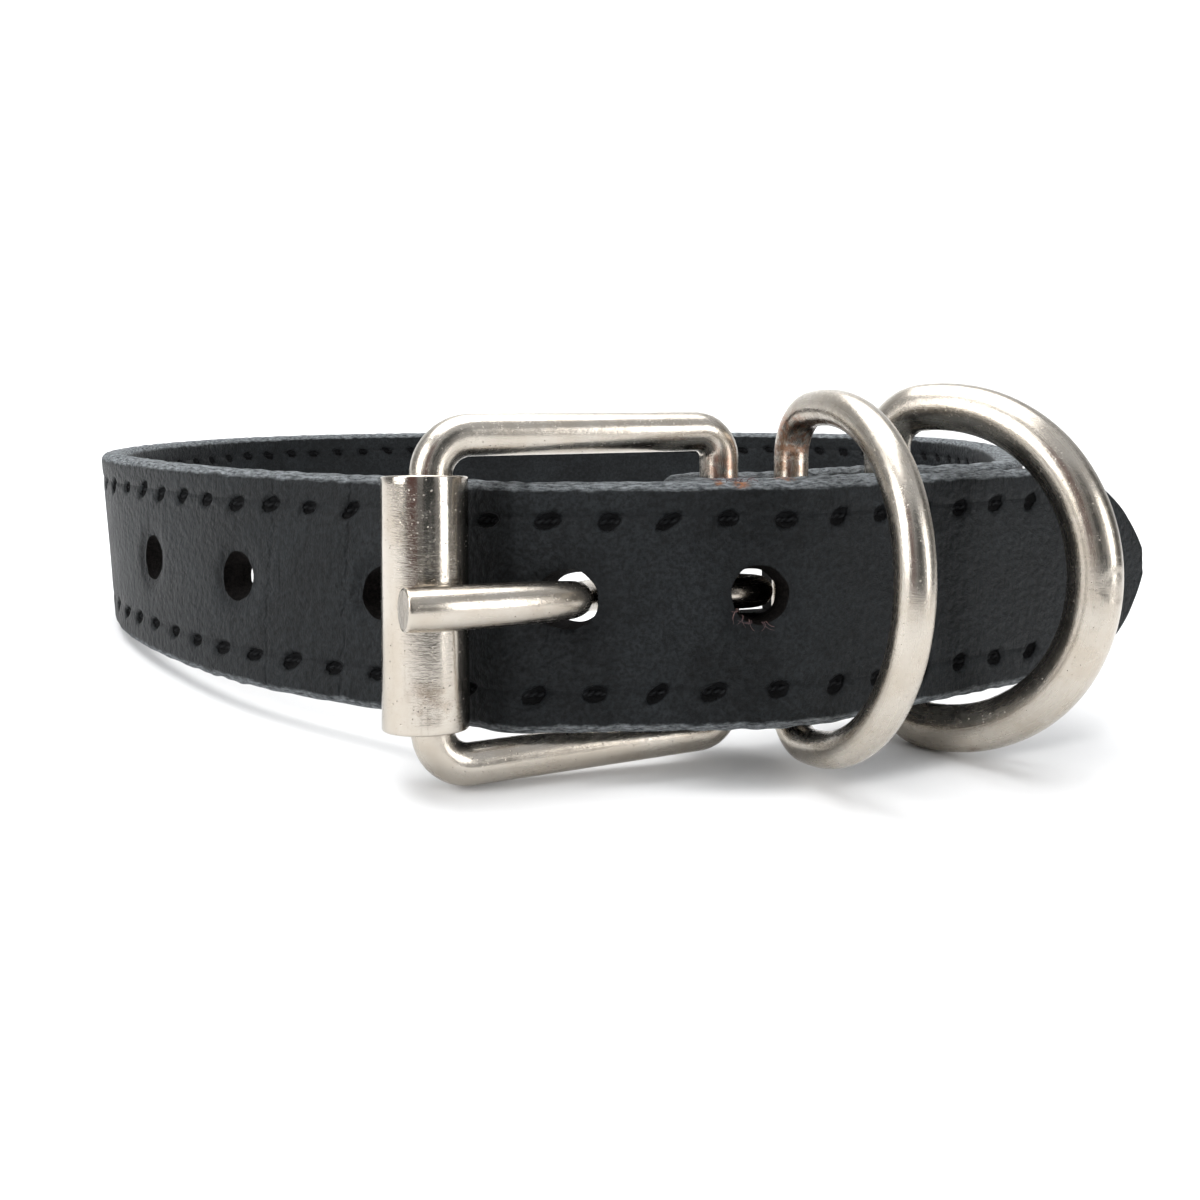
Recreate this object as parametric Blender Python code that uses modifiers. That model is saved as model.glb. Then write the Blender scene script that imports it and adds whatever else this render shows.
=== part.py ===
"""Dog collar: one leather strap, a roller buckle, a keeper ring and a leash ring.

The strap stands on its edge as a closed loop. Its buckle end is folded round the heel bar of the
buckle, with the straight bars of both rings held in the fold. Its other end passes behind the
roller, comes forward through the buckle, takes the tongue in a hole, and runs on through both
rings to a pointed tip.

Plan directions: X runs to the right, Y away from the front, Z up. Every size is in metres.
"""
import math

import bmesh
import bpy
import numpy as np
from mathutils import Matrix, Vector

MM = 0.001

# Weights that set how the collar comes to rest, in kilograms per cubic metre
LEATHER_DENSITY = 950.0
METAL_DENSITY = 7800.0

# Strap
STRAP_WIDTH = 25.0 * MM
STRAP_THICKNESS = 3.6 * MM
STRAP_EDGE_ROUND = 0.8 * MM
LOOP_WIDTH = 149.0 * MM
LOOP_DEPTH = 139.0 * MM
LOOP_SHIFT = 13.0 * MM
BILLET_REACH = 60.2 * MM
TIP_LENGTH = 19.0 * MM
TIP_NOSE_RADIUS = 3.5 * MM
FOLD_REACH = 34.5 * MM
FOLD_BEND_START = -1.0 * MM
FOLD_BEND_END = 10.0 * MM
FOLD_START_ANGLE = 3.0
FOLD_END_ANGLE = 31.0
FRONT_LEAN = 6.0

# Holes in the strap
HOLE_DIAMETER = 6.1 * MM
TONGUE_HOLE_REACH = 16.0 * MM
HOLE_PITCH = 21.8 * MM
FREE_HOLE_PITCH = 18.3 * MM
FREE_HOLE_RISE = 1.1 * MM
HOLES_ON_LOOP = 3
TONGUE_HOLE_SLANT = 22.0
TONGUE_SLOT_HEIGHT = 5.4 * MM

# Running gap between pieces that touch on the real collar
GAP = 0.3 * MM

# Buckle
FRAME_WIRE = 4.2 * MM
FRAME_WINDOW = 28.0 * MM
FRAME_PITCH = 32.0 * MM
FRAME_CORNER = 3.9 * MM
FRAME_HEEL_CORNER = 2.9 * MM
FRAME_TURN = 24.0
ROLLER_DIAMETER = 8.4 * MM
ROLLER_WALL = 0.55 * MM
ROLLER_LENGTH = 24.3 * MM
ROLLER_SAG = 0.5
TONGUE_WIRE = 4.2 * MM
TONGUE_LOOP_WIRE = 3.3 * MM
TONGUE_OVERHANG = 4.5 * MM
TONGUE_END_ANGLE = 27.0
TONGUE_TURN = 2.6 * MM

# Keeper ring, next to the buckle
KEEPER_WIRE = 3.8 * MM
KEEPER_OPENING = 32.0 * MM
KEEPER_REACH = 23.8 * MM
KEEPER_CORNER = 4.8 * MM
KEEPER_STATION = 9.6 * MM
KEEPER_SWING = 72.0
KEEPER_DROOP = 5.0
KEEPER_LIFT = 1.3 * MM

# Leash ring
LEASH_WIRE = 5.4 * MM
LEASH_OPENING = 31.6 * MM
LEASH_REACH = 23.8 * MM
LEASH_CORNER = 4.8 * MM
LEASH_STATION = 26.0 * MM
LEASH_SWING = 46.0
LEASH_DROOP = 1.5
LEASH_LIFT = 0.8 * MM

# Centre line of the free run of the loop, from the end of the fold round the back to the buckle.
# across: share of half the loop width; back: share of the loop depth; lean: degrees, inward at
# the top where positive.
LOOP_RUN = [
    # across, back, lean
    (0.690, 0.166, 3.0),
    (0.748, 0.222, 1.0),
    (0.815, 0.325, 0.0),
    (0.890, 0.468, 0.0),
    (0.935, 0.620, 0.0),
    (0.905, 0.785, 0.0),
    (0.735, 0.912, 0.0),
    (0.415, 0.981, 0.0),
    (0.000, 1.000, 0.0),
    (-0.415, 0.981, 0.0),
    (-0.760, 0.908, 0.0),
    (-0.970, 0.775, -1.0),
    (-1.045, 0.610, -3.0),
    (-1.045, 0.475, -4.0),
    (-0.998, 0.365, -3.0),
    (-0.924, 0.283, -1.0),
    (-0.812, 0.203, 2.0),
    (-0.660, 0.118, 4.0),
    (-0.550, 0.068, 5.0),
    (-0.440, 0.030, 6.0),
]

# Facets of the bow of a ring, from its top corner to the middle
BOW_STEPS = 9


def clear_scene():
    for item in list(bpy.data.objects):
        bpy.data.objects.remove(item, do_unlink=True)


def make_collection(name):
    group = bpy.data.collections.new(name)
    bpy.context.scene.collection.children.link(group)
    return group


def make_material(name, colour, metallic, roughness):
    material = bpy.data.materials.new(name)
    material.use_nodes = True
    shader = material.node_tree.nodes["Principled BSDF"]
    shader.inputs["Base Color"].default_value = (*colour, 1.0)
    shader.inputs["Metallic"].default_value = metallic
    shader.inputs["Roughness"].default_value = roughness
    return material


def smooth(value):
    value = min(max(value, 0.0), 1.0)
    return value * value * (3.0 - 2.0 * value)


def fold_angle(u):
    """Plan direction of the layers at the front, u from the heel bar towards the tip."""
    share = smooth((u - FOLD_BEND_START) / (FOLD_BEND_END - FOLD_BEND_START))
    return math.radians(FOLD_START_ANGLE + (FOLD_END_ANGLE - FOLD_START_ANGLE) * share)


def fold_line(u):
    """Point and front normal of the back face of the folded-over ply at u."""
    angle = fold_angle(0.0)
    normal = Vector((math.sin(angle), -math.cos(angle)))
    point = normal * (FRAME_WIRE / 2 + GAP)
    steps = max(2, int(abs(u) / (0.25 * MM)))
    step = u / steps
    for index in range(steps):
        angle = fold_angle((index + 0.5) * step)
        point = point + Vector((math.cos(angle), math.sin(angle))) * step
    angle = fold_angle(u)
    return point, Vector((math.sin(angle), -math.cos(angle)))


def beside_fold(u, offset):
    """Plan point at u, offset forward from the back face of the folded-over ply."""
    point, normal = fold_line(u)
    return point + normal * offset


def inner_gap(u):
    """Room left between the two plies of the fold, which the bars of the rings need."""
    stations = [
        (0.0, FRAME_WIRE),
        (KEEPER_STATION, KEEPER_WIRE),
        (LEASH_STATION, LEASH_WIRE),
        (FOLD_REACH + LEASH_WIRE, 0.0),
    ]
    for (u0, wire0), (u1, wire1) in zip(stations, stations[1:]):
        if u <= u1:
            share = smooth((u - u0) / (u1 - u0))
            room = wire0 + (wire1 - wire0) * share
            return max(room, 0.0) + 2 * GAP
    return 2 * GAP


def catmull(points, spacing):
    """Centripetal spline through the points, each a tuple x, y, lean, sampled at the spacing."""
    pts = [np.array(p, float) for p in points]
    pts = [2 * pts[0] - pts[1], *pts, 2 * pts[-1] - pts[-2]]
    out = []
    for p0, p1, p2, p3 in zip(pts, pts[1:], pts[2:], pts[3:]):
        t0 = 0.0
        t1 = t0 + max(np.linalg.norm((p1 - p0)[:2]), 1e-9) ** 0.5
        t2 = t1 + max(np.linalg.norm((p2 - p1)[:2]), 1e-9) ** 0.5
        t3 = t2 + max(np.linalg.norm((p3 - p2)[:2]), 1e-9) ** 0.5
        count = max(1, int(np.linalg.norm((p2 - p1)[:2]) / spacing))
        for index in range(count):
            t = t1 + (t2 - t1) * index / count
            a1 = (t1 - t) / (t1 - t0) * p0 + (t - t0) / (t1 - t0) * p1
            a2 = (t2 - t) / (t2 - t1) * p1 + (t - t1) / (t2 - t1) * p2
            a3 = (t3 - t) / (t3 - t2) * p2 + (t - t2) / (t3 - t2) * p3
            b1 = (t2 - t) / (t2 - t0) * a1 + (t - t0) / (t2 - t0) * a2
            b2 = (t3 - t) / (t3 - t1) * a2 + (t - t1) / (t3 - t1) * a3
            out.append((t2 - t) / (t2 - t1) * b1 + (t - t1) / (t2 - t1) * b2)
    out.append(pts[-2])
    return out


def thin_out(points, tolerance, longest):
    """Drop the points of a dense line that lie within the tolerance of a straight stretch."""
    keep = [0]
    start = 0
    while start < len(points) - 1:
        end = start + 1
        while end + 1 < len(points):
            a = points[start][:2]
            b = points[end + 1][:2]
            if np.linalg.norm(b - a) > longest:
                break
            along = (b - a) / max(np.linalg.norm(b - a), 1e-12)
            inside = np.array([p[:2] - a for p in points[start + 1:end + 1]])
            off = np.abs(inside[:, 0] * along[1] - inside[:, 1] * along[0])
            if off.max() > tolerance:
                break
            end += 1
        keep.append(end)
        start = end
    return [points[index] for index in keep]


def end_bar_place():
    turn = math.radians(FRAME_TURN)
    return Vector((-math.cos(turn), -math.sin(turn))) * FRAME_PITCH


def roller_place():
    """The roller sags outward on its bar by a share of its free play."""
    bore = ROLLER_DIAMETER - 2 * ROLLER_WALL
    play = (bore - FRAME_WIRE) / 2 - GAP
    return end_bar_place() + Vector((-ROLLER_SAG * play, 0.0))


def strap_line():
    """Centre line of the whole strap in plan, with the lean, from the fold's end to the tip."""
    half = STRAP_THICKNESS / 2
    spacing = 0.5 * MM
    line = []
    count = int(FOLD_REACH / spacing)
    for index in range(count + 1):
        u = FOLD_REACH * (1 - index / count)
        line.append((*beside_fold(u, half), -FRONT_LEAN))
    front = fold_angle(0.0)
    radius = FRAME_WIRE / 2 + GAP + half
    for index in range(1, 24):
        turned = math.pi * index / 24
        angle = front - math.pi / 2 - turned
        lean = -FRONT_LEAN * math.cos(turned)
        line.append((radius * math.cos(angle), radius * math.sin(angle), lean))
    for index in range(count + 1):
        u = FOLD_REACH * index / count
        line.append((*beside_fold(u, -inner_gap(u) - half), FRONT_LEAN))
    fold_end = len(line)
    outer = STRAP_THICKNESS + GAP + half
    back_of_billet = [line[-12], line[-1]]
    for across, back, lean in LOOP_RUN:
        x = across * LOOP_WIDTH / 2 - LOOP_SHIFT
        back_of_billet.append((x, back * LOOP_DEPTH, lean))
    roller = roller_place()
    clear = ROLLER_DIAMETER / 2 + half
    behind = roller + Vector((0.30, 0.95)).normalized() * (clear + 1.9 * MM)
    back_of_billet.append((*behind, FRONT_LEAN))
    shoulder = -(TONGUE_HOLE_REACH + HOLE_DIAMETER)
    crest = beside_fold(shoulder, outer)
    back_of_billet.append((*(crest + Vector((0.0, 0.2 * MM))), FRONT_LEAN))
    first = -(TONGUE_HOLE_REACH + HOLE_DIAMETER * 0.35)
    back_of_billet.append((*beside_fold(first, outer), FRONT_LEAN))
    second = first + 3 * MM
    back_of_billet.append((*beside_fold(second, outer), FRONT_LEAN))
    run = catmull(back_of_billet, spacing)
    seam = min(range(len(run)), key=lambda i: np.linalg.norm(run[i][:2] - np.array(line[-1][:2])))
    line.extend(tuple(p) for p in run[seam + 1:])
    billet_start = len(line)
    reach = BILLET_REACH - second
    count = int(reach / spacing)
    for index in range(1, count + 1):
        u = second + reach * index / count
        line.append((*beside_fold(u, outer), FRONT_LEAN))
    return [np.array(p, float) for p in line], fold_end, billet_start


def frame_at(line, index):
    """Matrix at a point of the strap: X along it, Y through it to the inside, Z across it."""
    a = line[max(index - 1, 0)]
    b = line[min(index + 1, len(line) - 1)]
    along = Vector((b[0] - a[0], b[1] - a[1], 0.0)).normalized()
    return place_frame(Vector((line[index][0], line[index][1], 0.0)), along, line[index][2])


def place_frame(centre, along, lean):
    inside = Vector((-along.y, along.x, 0.0))
    tilt = math.radians(lean)
    across = Vector((0.0, 0.0, 1.0)) * math.cos(tilt) + inside * math.sin(tilt)
    through = across.cross(along)
    basis = Matrix((along, through, across)).transposed().to_4x4()
    return Matrix.Translation(centre) @ basis


def rounded_profile(name, thickness, width, radius, group):
    """Closed outline of the strap's section, as a curve that sweeps along the strap."""
    radius = min(radius, 0.45 * thickness)
    corners = []
    for sx, sy, start in ((1, 1, 0.0), (-1, 1, 90.0), (-1, -1, 180.0), (1, -1, 270.0)):
        for step in range(3):
            angle = math.radians(start + 45.0 * step)
            x = sx * (thickness / 2 - radius) + radius * math.cos(angle)
            y = sy * (width / 2 - radius) + radius * math.sin(angle)
            corners.append((x, y))
    curve = bpy.data.curves.new(name, "CURVE")
    curve.dimensions = "2D"
    spline = curve.splines.new("POLY")
    spline.points.add(len(corners) - 1)
    for point, (x, y) in zip(spline.points, corners):
        point.co = (x, y, 0.0, 1.0)
    spline.use_cyclic_u = True
    item = bpy.data.objects.new(name, curve)
    group.objects.link(item)
    return item


def mesh_from_curve(name, source, group):
    """Closed mesh of a swept curve, with its caps welded on."""
    depsgraph = bpy.context.evaluated_depsgraph_get()
    mesh = bpy.data.meshes.new_from_object(source.evaluated_get(depsgraph))
    work = bmesh.new()
    work.from_mesh(mesh)
    bmesh.ops.remove_doubles(work, verts=work.verts, dist=0.00001)
    bmesh.ops.triangulate(work, faces=work.faces)
    bmesh.ops.recalc_face_normals(work, faces=work.faces)
    work.to_mesh(mesh)
    work.free()
    mesh.name = name
    item = bpy.data.objects.new(name, mesh)
    group.objects.link(item)
    bpy.data.objects.remove(source, do_unlink=True)
    return item


def make_tube(name, points, radii, wire, group, cyclic=False, sides=4):
    curve = bpy.data.curves.new(name + "_path", "CURVE")
    curve.dimensions = "3D"
    curve.bevel_depth = wire / 2
    curve.bevel_resolution = sides
    curve.use_fill_caps = not cyclic
    curve.twist_mode = "MINIMUM"
    spline = curve.splines.new("POLY")
    spline.points.add(len(points) - 1)
    for point, place, radius in zip(spline.points, points, radii):
        point.co = (*place, 1.0)
        point.radius = radius
    spline.use_cyclic_u = cyclic
    source = bpy.data.objects.new(name + "_path", curve)
    group.objects.link(source)
    return mesh_from_curve(name, source, group)


def add_cut(target, cutter):
    cut = target.modifiers.new("cut_" + cutter.name, "BOOLEAN")
    cut.operation = "DIFFERENCE"
    cut.solver = "EXACT"
    cut.object = cutter


def hide_cutter(cutter):
    cutter.display_type = "WIRE"
    cutter.hide_render = True


def make_cylinder_cutter(name, radius, low, high, matrix, group):
    """Cylinder along the local Y of the matrix, from low to high."""
    mesh = bpy.data.meshes.new(name)
    work = bmesh.new()
    bmesh.ops.create_cone(
        work, cap_ends=True, segments=20, radius1=radius, radius2=radius, depth=high - low
    )
    stand = Matrix.Rotation(math.radians(-90.0), 4, "X")
    middle = Matrix.Translation((0.0, (low + high) / 2, 0.0))
    bmesh.ops.transform(work, matrix=matrix @ middle @ stand, verts=work.verts)
    work.to_mesh(mesh)
    work.free()
    cutter = bpy.data.objects.new(name, mesh)
    group.objects.link(cutter)
    hide_cutter(cutter)
    return cutter


def make_slot_cutter(name, group):
    """Prism through both plies of the fold at the heel bar, clear of the billet in front."""
    base = heel_frame()
    start = -FRAME_WIRE / 2 - GAP - STRAP_THICKNESS - 2.0 * MM
    end = FRAME_WIRE / 2 + GAP + TONGUE_LOOP_WIRE + GAP
    stations = [start + (end - start) * index / 8 for index in range(9)]
    front = STRAP_THICKNESS + GAP / 2
    outline = [beside_fold(u, front) for u in stations]
    back = FRAME_WIRE + 2 * GAP + STRAP_THICKNESS + 2.0 * MM
    straight = Vector((base.col[0].x, base.col[0].y))
    away = Vector((-straight.y, straight.x)) * back
    outline += [straight * end + away, straight * start + away]
    side = TONGUE_SLOT_HEIGHT / 2
    mesh = bpy.data.meshes.new(name)
    work = bmesh.new()
    low = base.col[2].to_3d() * -side
    ring = [work.verts.new(lean_point(place, base) + low) for place in outline]
    face = work.faces.new(ring)
    grown = bmesh.ops.extrude_face_region(work, geom=[face])
    moved = [v for v in grown["geom"] if isinstance(v, bmesh.types.BMVert)]
    bmesh.ops.translate(work, vec=low * -2.0, verts=moved)
    bmesh.ops.recalc_face_normals(work, faces=work.faces)
    work.to_mesh(mesh)
    work.free()
    cutter = bpy.data.objects.new(name, mesh)
    group.objects.link(cutter)
    hide_cutter(cutter)
    return cutter


def tip_outline():
    """Half outline of the pointed tip: distance from its end and half width there."""
    half = STRAP_WIDTH / 2
    nose = min(TIP_NOSE_RADIUS, 0.6 * half)
    points = []
    for step in range(5):
        angle = math.radians(68.0 * step / 4)
        points.append((nose - nose * math.cos(angle), nose * math.sin(angle)))
    along0, out0 = points[-1]
    slope = math.tan(math.radians(90.0 - 68.0))
    for step in range(1, 9):
        share = step / 8
        along = along0 + (TIP_LENGTH - along0) * share
        blend = share * (2 - share)
        linear = out0 + slope * (along - along0)
        points.append((along, min(half, linear + (half - linear) * blend ** 0.9)))
    return points


def make_tip_cutter(name, matrix, group):
    """Block round the end of the strap with a pointed notch, which leaves the tip standing."""
    half = STRAP_WIDTH / 2
    over = 3.0 * MM
    outline = tip_outline()
    upper = [(-along, out) for along, out in outline[1:]]
    lower = [(-along, -out) for along, out in outline[1:]]
    loop = [(-TIP_LENGTH, half + over), *reversed(upper), (0.0, 0.0), *lower]
    loop += [(-TIP_LENGTH, -half - over), (over, -half - over), (over, half + over)]
    depth = STRAP_THICKNESS / 2 + GAP / 3
    mesh = bpy.data.meshes.new(name)
    work = bmesh.new()
    ring = [work.verts.new((x, -depth, z)) for x, z in loop]
    face = work.faces.new(ring)
    grown = bmesh.ops.extrude_face_region(work, geom=[face])
    moved = [v for v in grown["geom"] if isinstance(v, bmesh.types.BMVert)]
    bmesh.ops.translate(work, vec=(0.0, 2 * depth, 0.0), verts=moved)
    bmesh.ops.recalc_face_normals(work, faces=work.faces)
    bmesh.ops.transform(work, matrix=matrix, verts=work.verts)
    work.to_mesh(mesh)
    work.free()
    cutter = bpy.data.objects.new(name, mesh)
    group.objects.link(cutter)
    hide_cutter(cutter)
    return cutter


def arc_lengths(line):
    steps = [np.linalg.norm(b[:2] - a[:2]) for a, b in zip(line, line[1:])]
    return np.concatenate(([0.0], np.cumsum(steps)))


def make_strap(group, cutters):
    line, fold_end, billet_start = strap_line()
    lean_line = thin_out(line, 0.03 * MM, 9.0 * MM)
    profile = rounded_profile(
        "strap_section", STRAP_THICKNESS, STRAP_WIDTH, STRAP_EDGE_ROUND, cutters
    )
    curve = bpy.data.curves.new("strap_path", "CURVE")
    curve.dimensions = "3D"
    curve.bevel_mode = "OBJECT"
    curve.bevel_object = profile
    curve.use_fill_caps = True
    curve.twist_mode = "Z_UP"
    spline = curve.splines.new("POLY")
    spline.points.add(len(lean_line) - 1)
    for point, (x, y, lean) in zip(spline.points, lean_line):
        point.co = (x, y, 0.0, 1.0)
        point.tilt = -math.radians(lean)
    source = bpy.data.objects.new("strap_path", curve)
    group.objects.link(source)
    strap = mesh_from_curve("strap", source, group)
    bpy.data.objects.remove(profile, do_unlink=True)

    lengths = arc_lengths(line)
    outer = STRAP_THICKNESS + GAP + STRAP_THICKNESS / 2
    hole = np.array(beside_fold(-TONGUE_HOLE_REACH, outer))
    far = [np.linalg.norm(p[:2] - hole) for p in line[fold_end:]]
    tongue_at = lengths[fold_end + int(np.argmin(far))]
    tongue_rise = lean_point(Vector(hole), heel_frame()).z
    stations = [
        ("hole_tongue", tongue_at, tongue_rise),
        ("hole_free", tongue_at + FREE_HOLE_PITCH, FREE_HOLE_RISE),
    ]
    for index in range(HOLES_ON_LOOP):
        stations.append((f"hole_loop_{index + 1}", tongue_at - HOLE_PITCH * (index + 1), 0.0))
    low = -STRAP_THICKNESS / 2 - 2.0 * MM
    high = STRAP_THICKNESS / 2 + GAP / 2
    for name, station, rise in stations:
        index = int(np.argmin(np.abs(lengths - station)))
        matrix = frame_at(line, index) @ Matrix.Translation((0.0, 0.0, rise))
        top = high
        if name == "hole_tongue":
            slant = math.radians(TONGUE_HOLE_SLANT)
            matrix = matrix @ Matrix.Rotation(-slant, 4, "Z")
            top = high + HOLE_DIAMETER * math.sin(slant)
        cutter = make_cylinder_cutter(name, HOLE_DIAMETER / 2, low, top, matrix, cutters)
        add_cut(strap, cutter)

    add_cut(strap, make_slot_cutter("tongue_slot", cutters))
    tip = make_tip_cutter("tip_notch", frame_at(line, len(line) - 1), cutters)
    add_cut(strap, tip)
    return strap


def make_frame(group):
    """Rectangular wire frame: its heel bar lies in the fold, its end bar carries the roller."""
    half = FRAME_WINDOW / 2 + FRAME_WIRE / 2
    corners = [
        (0.0, -half, 180.0, FRAME_HEEL_CORNER),
        (FRAME_PITCH, -half, 270.0, FRAME_CORNER),
        (FRAME_PITCH, half, 0.0, FRAME_CORNER),
        (0.0, half, 90.0, FRAME_HEEL_CORNER),
    ]
    points = []
    for x, z, start, radius in corners:
        cx = x + (radius if x == 0.0 else -radius)
        cz = z + (radius if z < 0 else -radius)
        for step in range(6):
            angle = math.radians(start + 90.0 * step / 5)
            points.append((cx + radius * math.cos(angle), cz + radius * math.sin(angle)))
    place = end_bar_place()
    along = place.normalized()
    lift = (FRAME_WINDOW - STRAP_WIDTH) / 2 - GAP
    base = heel_frame()
    up = base.col[2].to_3d()
    reach = Vector((along.x, along.y, 0.0))
    spots = [reach * x + up * (z + lift) for x, z in points]
    return make_tube("buckle_frame", spots, [1.0] * len(spots), FRAME_WIRE, group, True, 4)


def heel_frame():
    angle = fold_angle(0.0)
    along = Vector((math.cos(angle), math.sin(angle), 0.0))
    return place_frame(Vector((0.0, 0.0, 0.0)), along, FRONT_LEAN)


def make_roller(group):
    """Thin-walled tube on the end bar, turned from its wall profile."""
    outer = ROLLER_DIAMETER / 2
    inner = outer - ROLLER_WALL
    half = ROLLER_LENGTH / 2
    edge = ROLLER_WALL / 4
    profile = [
        (inner, -half),
        (outer - edge, -half),
        (outer, -half + edge),
        (outer, half - edge),
        (outer - edge, half),
        (inner, half),
    ]
    mesh = bpy.data.meshes.new("roller")
    work = bmesh.new()
    verts = [work.verts.new((x, 0.0, z)) for x, z in profile]
    for a, b in zip(verts, verts[1:] + verts[:1]):
        work.edges.new((a, b))
    work.to_mesh(mesh)
    work.free()
    roller = bpy.data.objects.new("roller", mesh)
    group.objects.link(roller)
    turn = roller.modifiers.new("turn", "SCREW")
    turn.axis = "Z"
    turn.angle = math.radians(360.0)
    turn.steps = 28
    turn.render_steps = 28
    turn.use_merge_vertices = True
    turn.merge_threshold = 0.00001
    turn.use_normal_calculate = True
    place = roller_place()
    base = heel_frame()
    lift = (FRAME_WINDOW - STRAP_WIDTH) / 2 - GAP
    centre = Vector((place.x, place.y, 0.0)) + base.col[2].to_3d() * lift
    roller.matrix_basis = Matrix.Translation(centre) @ base.to_3x3().to_4x4()
    return roller


def make_tongue(group):
    """Bent wire: round the heel bar in the slot, out through the hole, over the roller."""
    base = heel_frame()
    radius = FRAME_WIRE / 2 + GAP + TONGUE_LOOP_WIRE / 2
    spots = []
    front = math.degrees(fold_angle(0.0)) - 90.0
    for step in range(13):
        angle = math.radians(front + 235.0 - 235.0 * step / 12)
        spots.append((radius * math.cos(angle), radius * math.sin(angle), TONGUE_LOOP_WIRE))
    loop_count = len(spots)
    hide = STRAP_THICKNESS - GAP - TONGUE_LOOP_WIRE / 2
    u_turn = -TONGUE_HOLE_REACH + TONGUE_TURN
    for share in (0.45, 0.80, 1.0):
        place = beside_fold(u_turn * share, hide)
        spots.append((*place, TONGUE_LOOP_WIRE))
    hole = beside_fold(GAP - TONGUE_HOLE_REACH, STRAP_THICKNESS + GAP + STRAP_THICKNESS / 2)
    slant = math.radians(TONGUE_HOLE_SLANT) - fold_angle(-TONGUE_HOLE_REACH)
    axis = Vector((-math.sin(slant), -math.cos(slant)))
    middle_wire = (TONGUE_LOOP_WIRE + TONGUE_WIRE) / 2
    for side, wire in ((-0.5, TONGUE_LOOP_WIRE), (0.0, TONGUE_LOOP_WIRE), (0.5, middle_wire)):
        spots.append((*(hole + axis * (STRAP_THICKNESS * side)), wire))
    roller = roller_place()
    reach = ROLLER_DIAMETER / 2 + GAP + TONGUE_WIRE / 2
    angle = math.radians(TONGUE_END_ANGLE + 3.0)
    touch = roller + Vector((math.sin(angle), -math.cos(angle))) * reach
    spots.append((*touch, TONGUE_WIRE))
    end_angle = math.radians(TONGUE_END_ANGLE)
    ahead = Vector((-math.cos(end_angle), -math.sin(end_angle)))
    end = touch + ahead * TONGUE_OVERHANG
    spots.append((*end, TONGUE_WIRE * 0.97))
    plain = [(x, y, 0.0) for x, y, _ in spots[:loop_count]]
    bent = catmull([(x, y, w) for x, y, w in spots[loop_count - 2:]], 0.9 * MM)
    start = min(
        range(len(bent)),
        key=lambda i: math.hypot(bent[i][0] - spots[loop_count - 1][0],
                                 bent[i][1] - spots[loop_count - 1][1]),
    )
    bent = bent[start + 1:]
    places = [Vector((x, y, 0.0)) for x, y, _ in plain]
    places += [Vector((p[0], p[1], 0.0)) for p in bent]
    radii = [1.0] * len(plain) + [p[2] / TONGUE_LOOP_WIRE for p in bent]
    spots = [lean_point(place, base) for place in places]
    return make_tube("tongue", spots, radii, TONGUE_LOOP_WIRE, group, False, 4)


def lean_point(place, base):
    """Point of the plan at the middle of the strap's width, in the leaning plane of the front."""
    along = base.col[0].to_3d()
    through = base.col[1].to_3d()
    flat = Vector((-along.y, along.x, 0.0))
    return along * place.dot(along) + through * place.dot(flat)


def ring_frame(station, wire, swing, droop, lift):
    """Matrix of a ring: origin on its bar, X out along its reach, Z along its bar."""
    point, normal = fold_line(station)
    place = point - normal * (GAP + wire / 2)
    angle = fold_angle(station)
    along = Vector((math.cos(angle), math.sin(angle), 0.0))
    base = place_frame(Vector((place.x, place.y, 0.0)), along, FRONT_LEAN)
    sag = Matrix.Rotation(math.radians(droop), 4, "Y")
    up = Matrix.Translation((0.0, 0.0, lift))
    turn = Matrix.Rotation(math.radians(-swing) - angle, 4, "Z")
    return base @ up @ sag @ turn


def make_ring(name, wire, opening, reach, corner, matrix, group):
    """D ring: a straight bar, two round corners and an oval bow."""
    half = opening / 2 + wire / 2
    points = []
    for step in range(6):
        angle = math.radians(180.0 - 90.0 * step / 5)
        points.append((corner + corner * math.cos(angle), half - corner + corner * math.sin(angle)))
    depth = reach - corner
    for step in range(1, BOW_STEPS * 2):
        angle = math.radians(90.0 - 180.0 * step / (BOW_STEPS * 2))
        share = math.cos(angle)
        points.append((corner + depth * share ** 0.92, half * math.sin(angle)))
    for step in range(6):
        angle = math.radians(270.0 - 90.0 * step / 5)
        points.append((corner + corner * math.cos(angle), -half + corner + corner * math.sin(angle)))
    spots = [matrix @ Vector((x, 0.0, z)) for x, z in points]
    return make_tube(name, spots, [1.0] * len(spots), wire, group, True, 4)


def world_points(item):
    depsgraph = bpy.context.evaluated_depsgraph_get()
    solid = item.evaluated_get(depsgraph)
    mesh = solid.to_mesh()
    coords = np.empty(len(mesh.vertices) * 3)
    mesh.vertices.foreach_get("co", coords)
    coords = coords.reshape(-1, 3)
    matrix = np.array(solid.matrix_world)
    solid.to_mesh_clear()
    return coords @ matrix[:3, :3].T + matrix[:3, 3]


def solid_moments(item):
    """Volume and centre of a solid as built, in world coordinates."""
    depsgraph = bpy.context.evaluated_depsgraph_get()
    work = bmesh.new()
    work.from_mesh(item.evaluated_get(depsgraph).to_mesh())
    work.transform(item.matrix_world)
    bmesh.ops.triangulate(work, faces=work.faces)
    corners = np.array([[v.co[:] for v in face.verts] for face in work.faces])
    work.free()
    parts = np.einsum("ij,ij->i", corners[:, 0], np.cross(corners[:, 1], corners[:, 2])) / 6
    centres = corners.sum(axis=1) / 4
    volume = parts.sum()
    return volume, (centres * parts[:, None]).sum(axis=0) / volume


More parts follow.
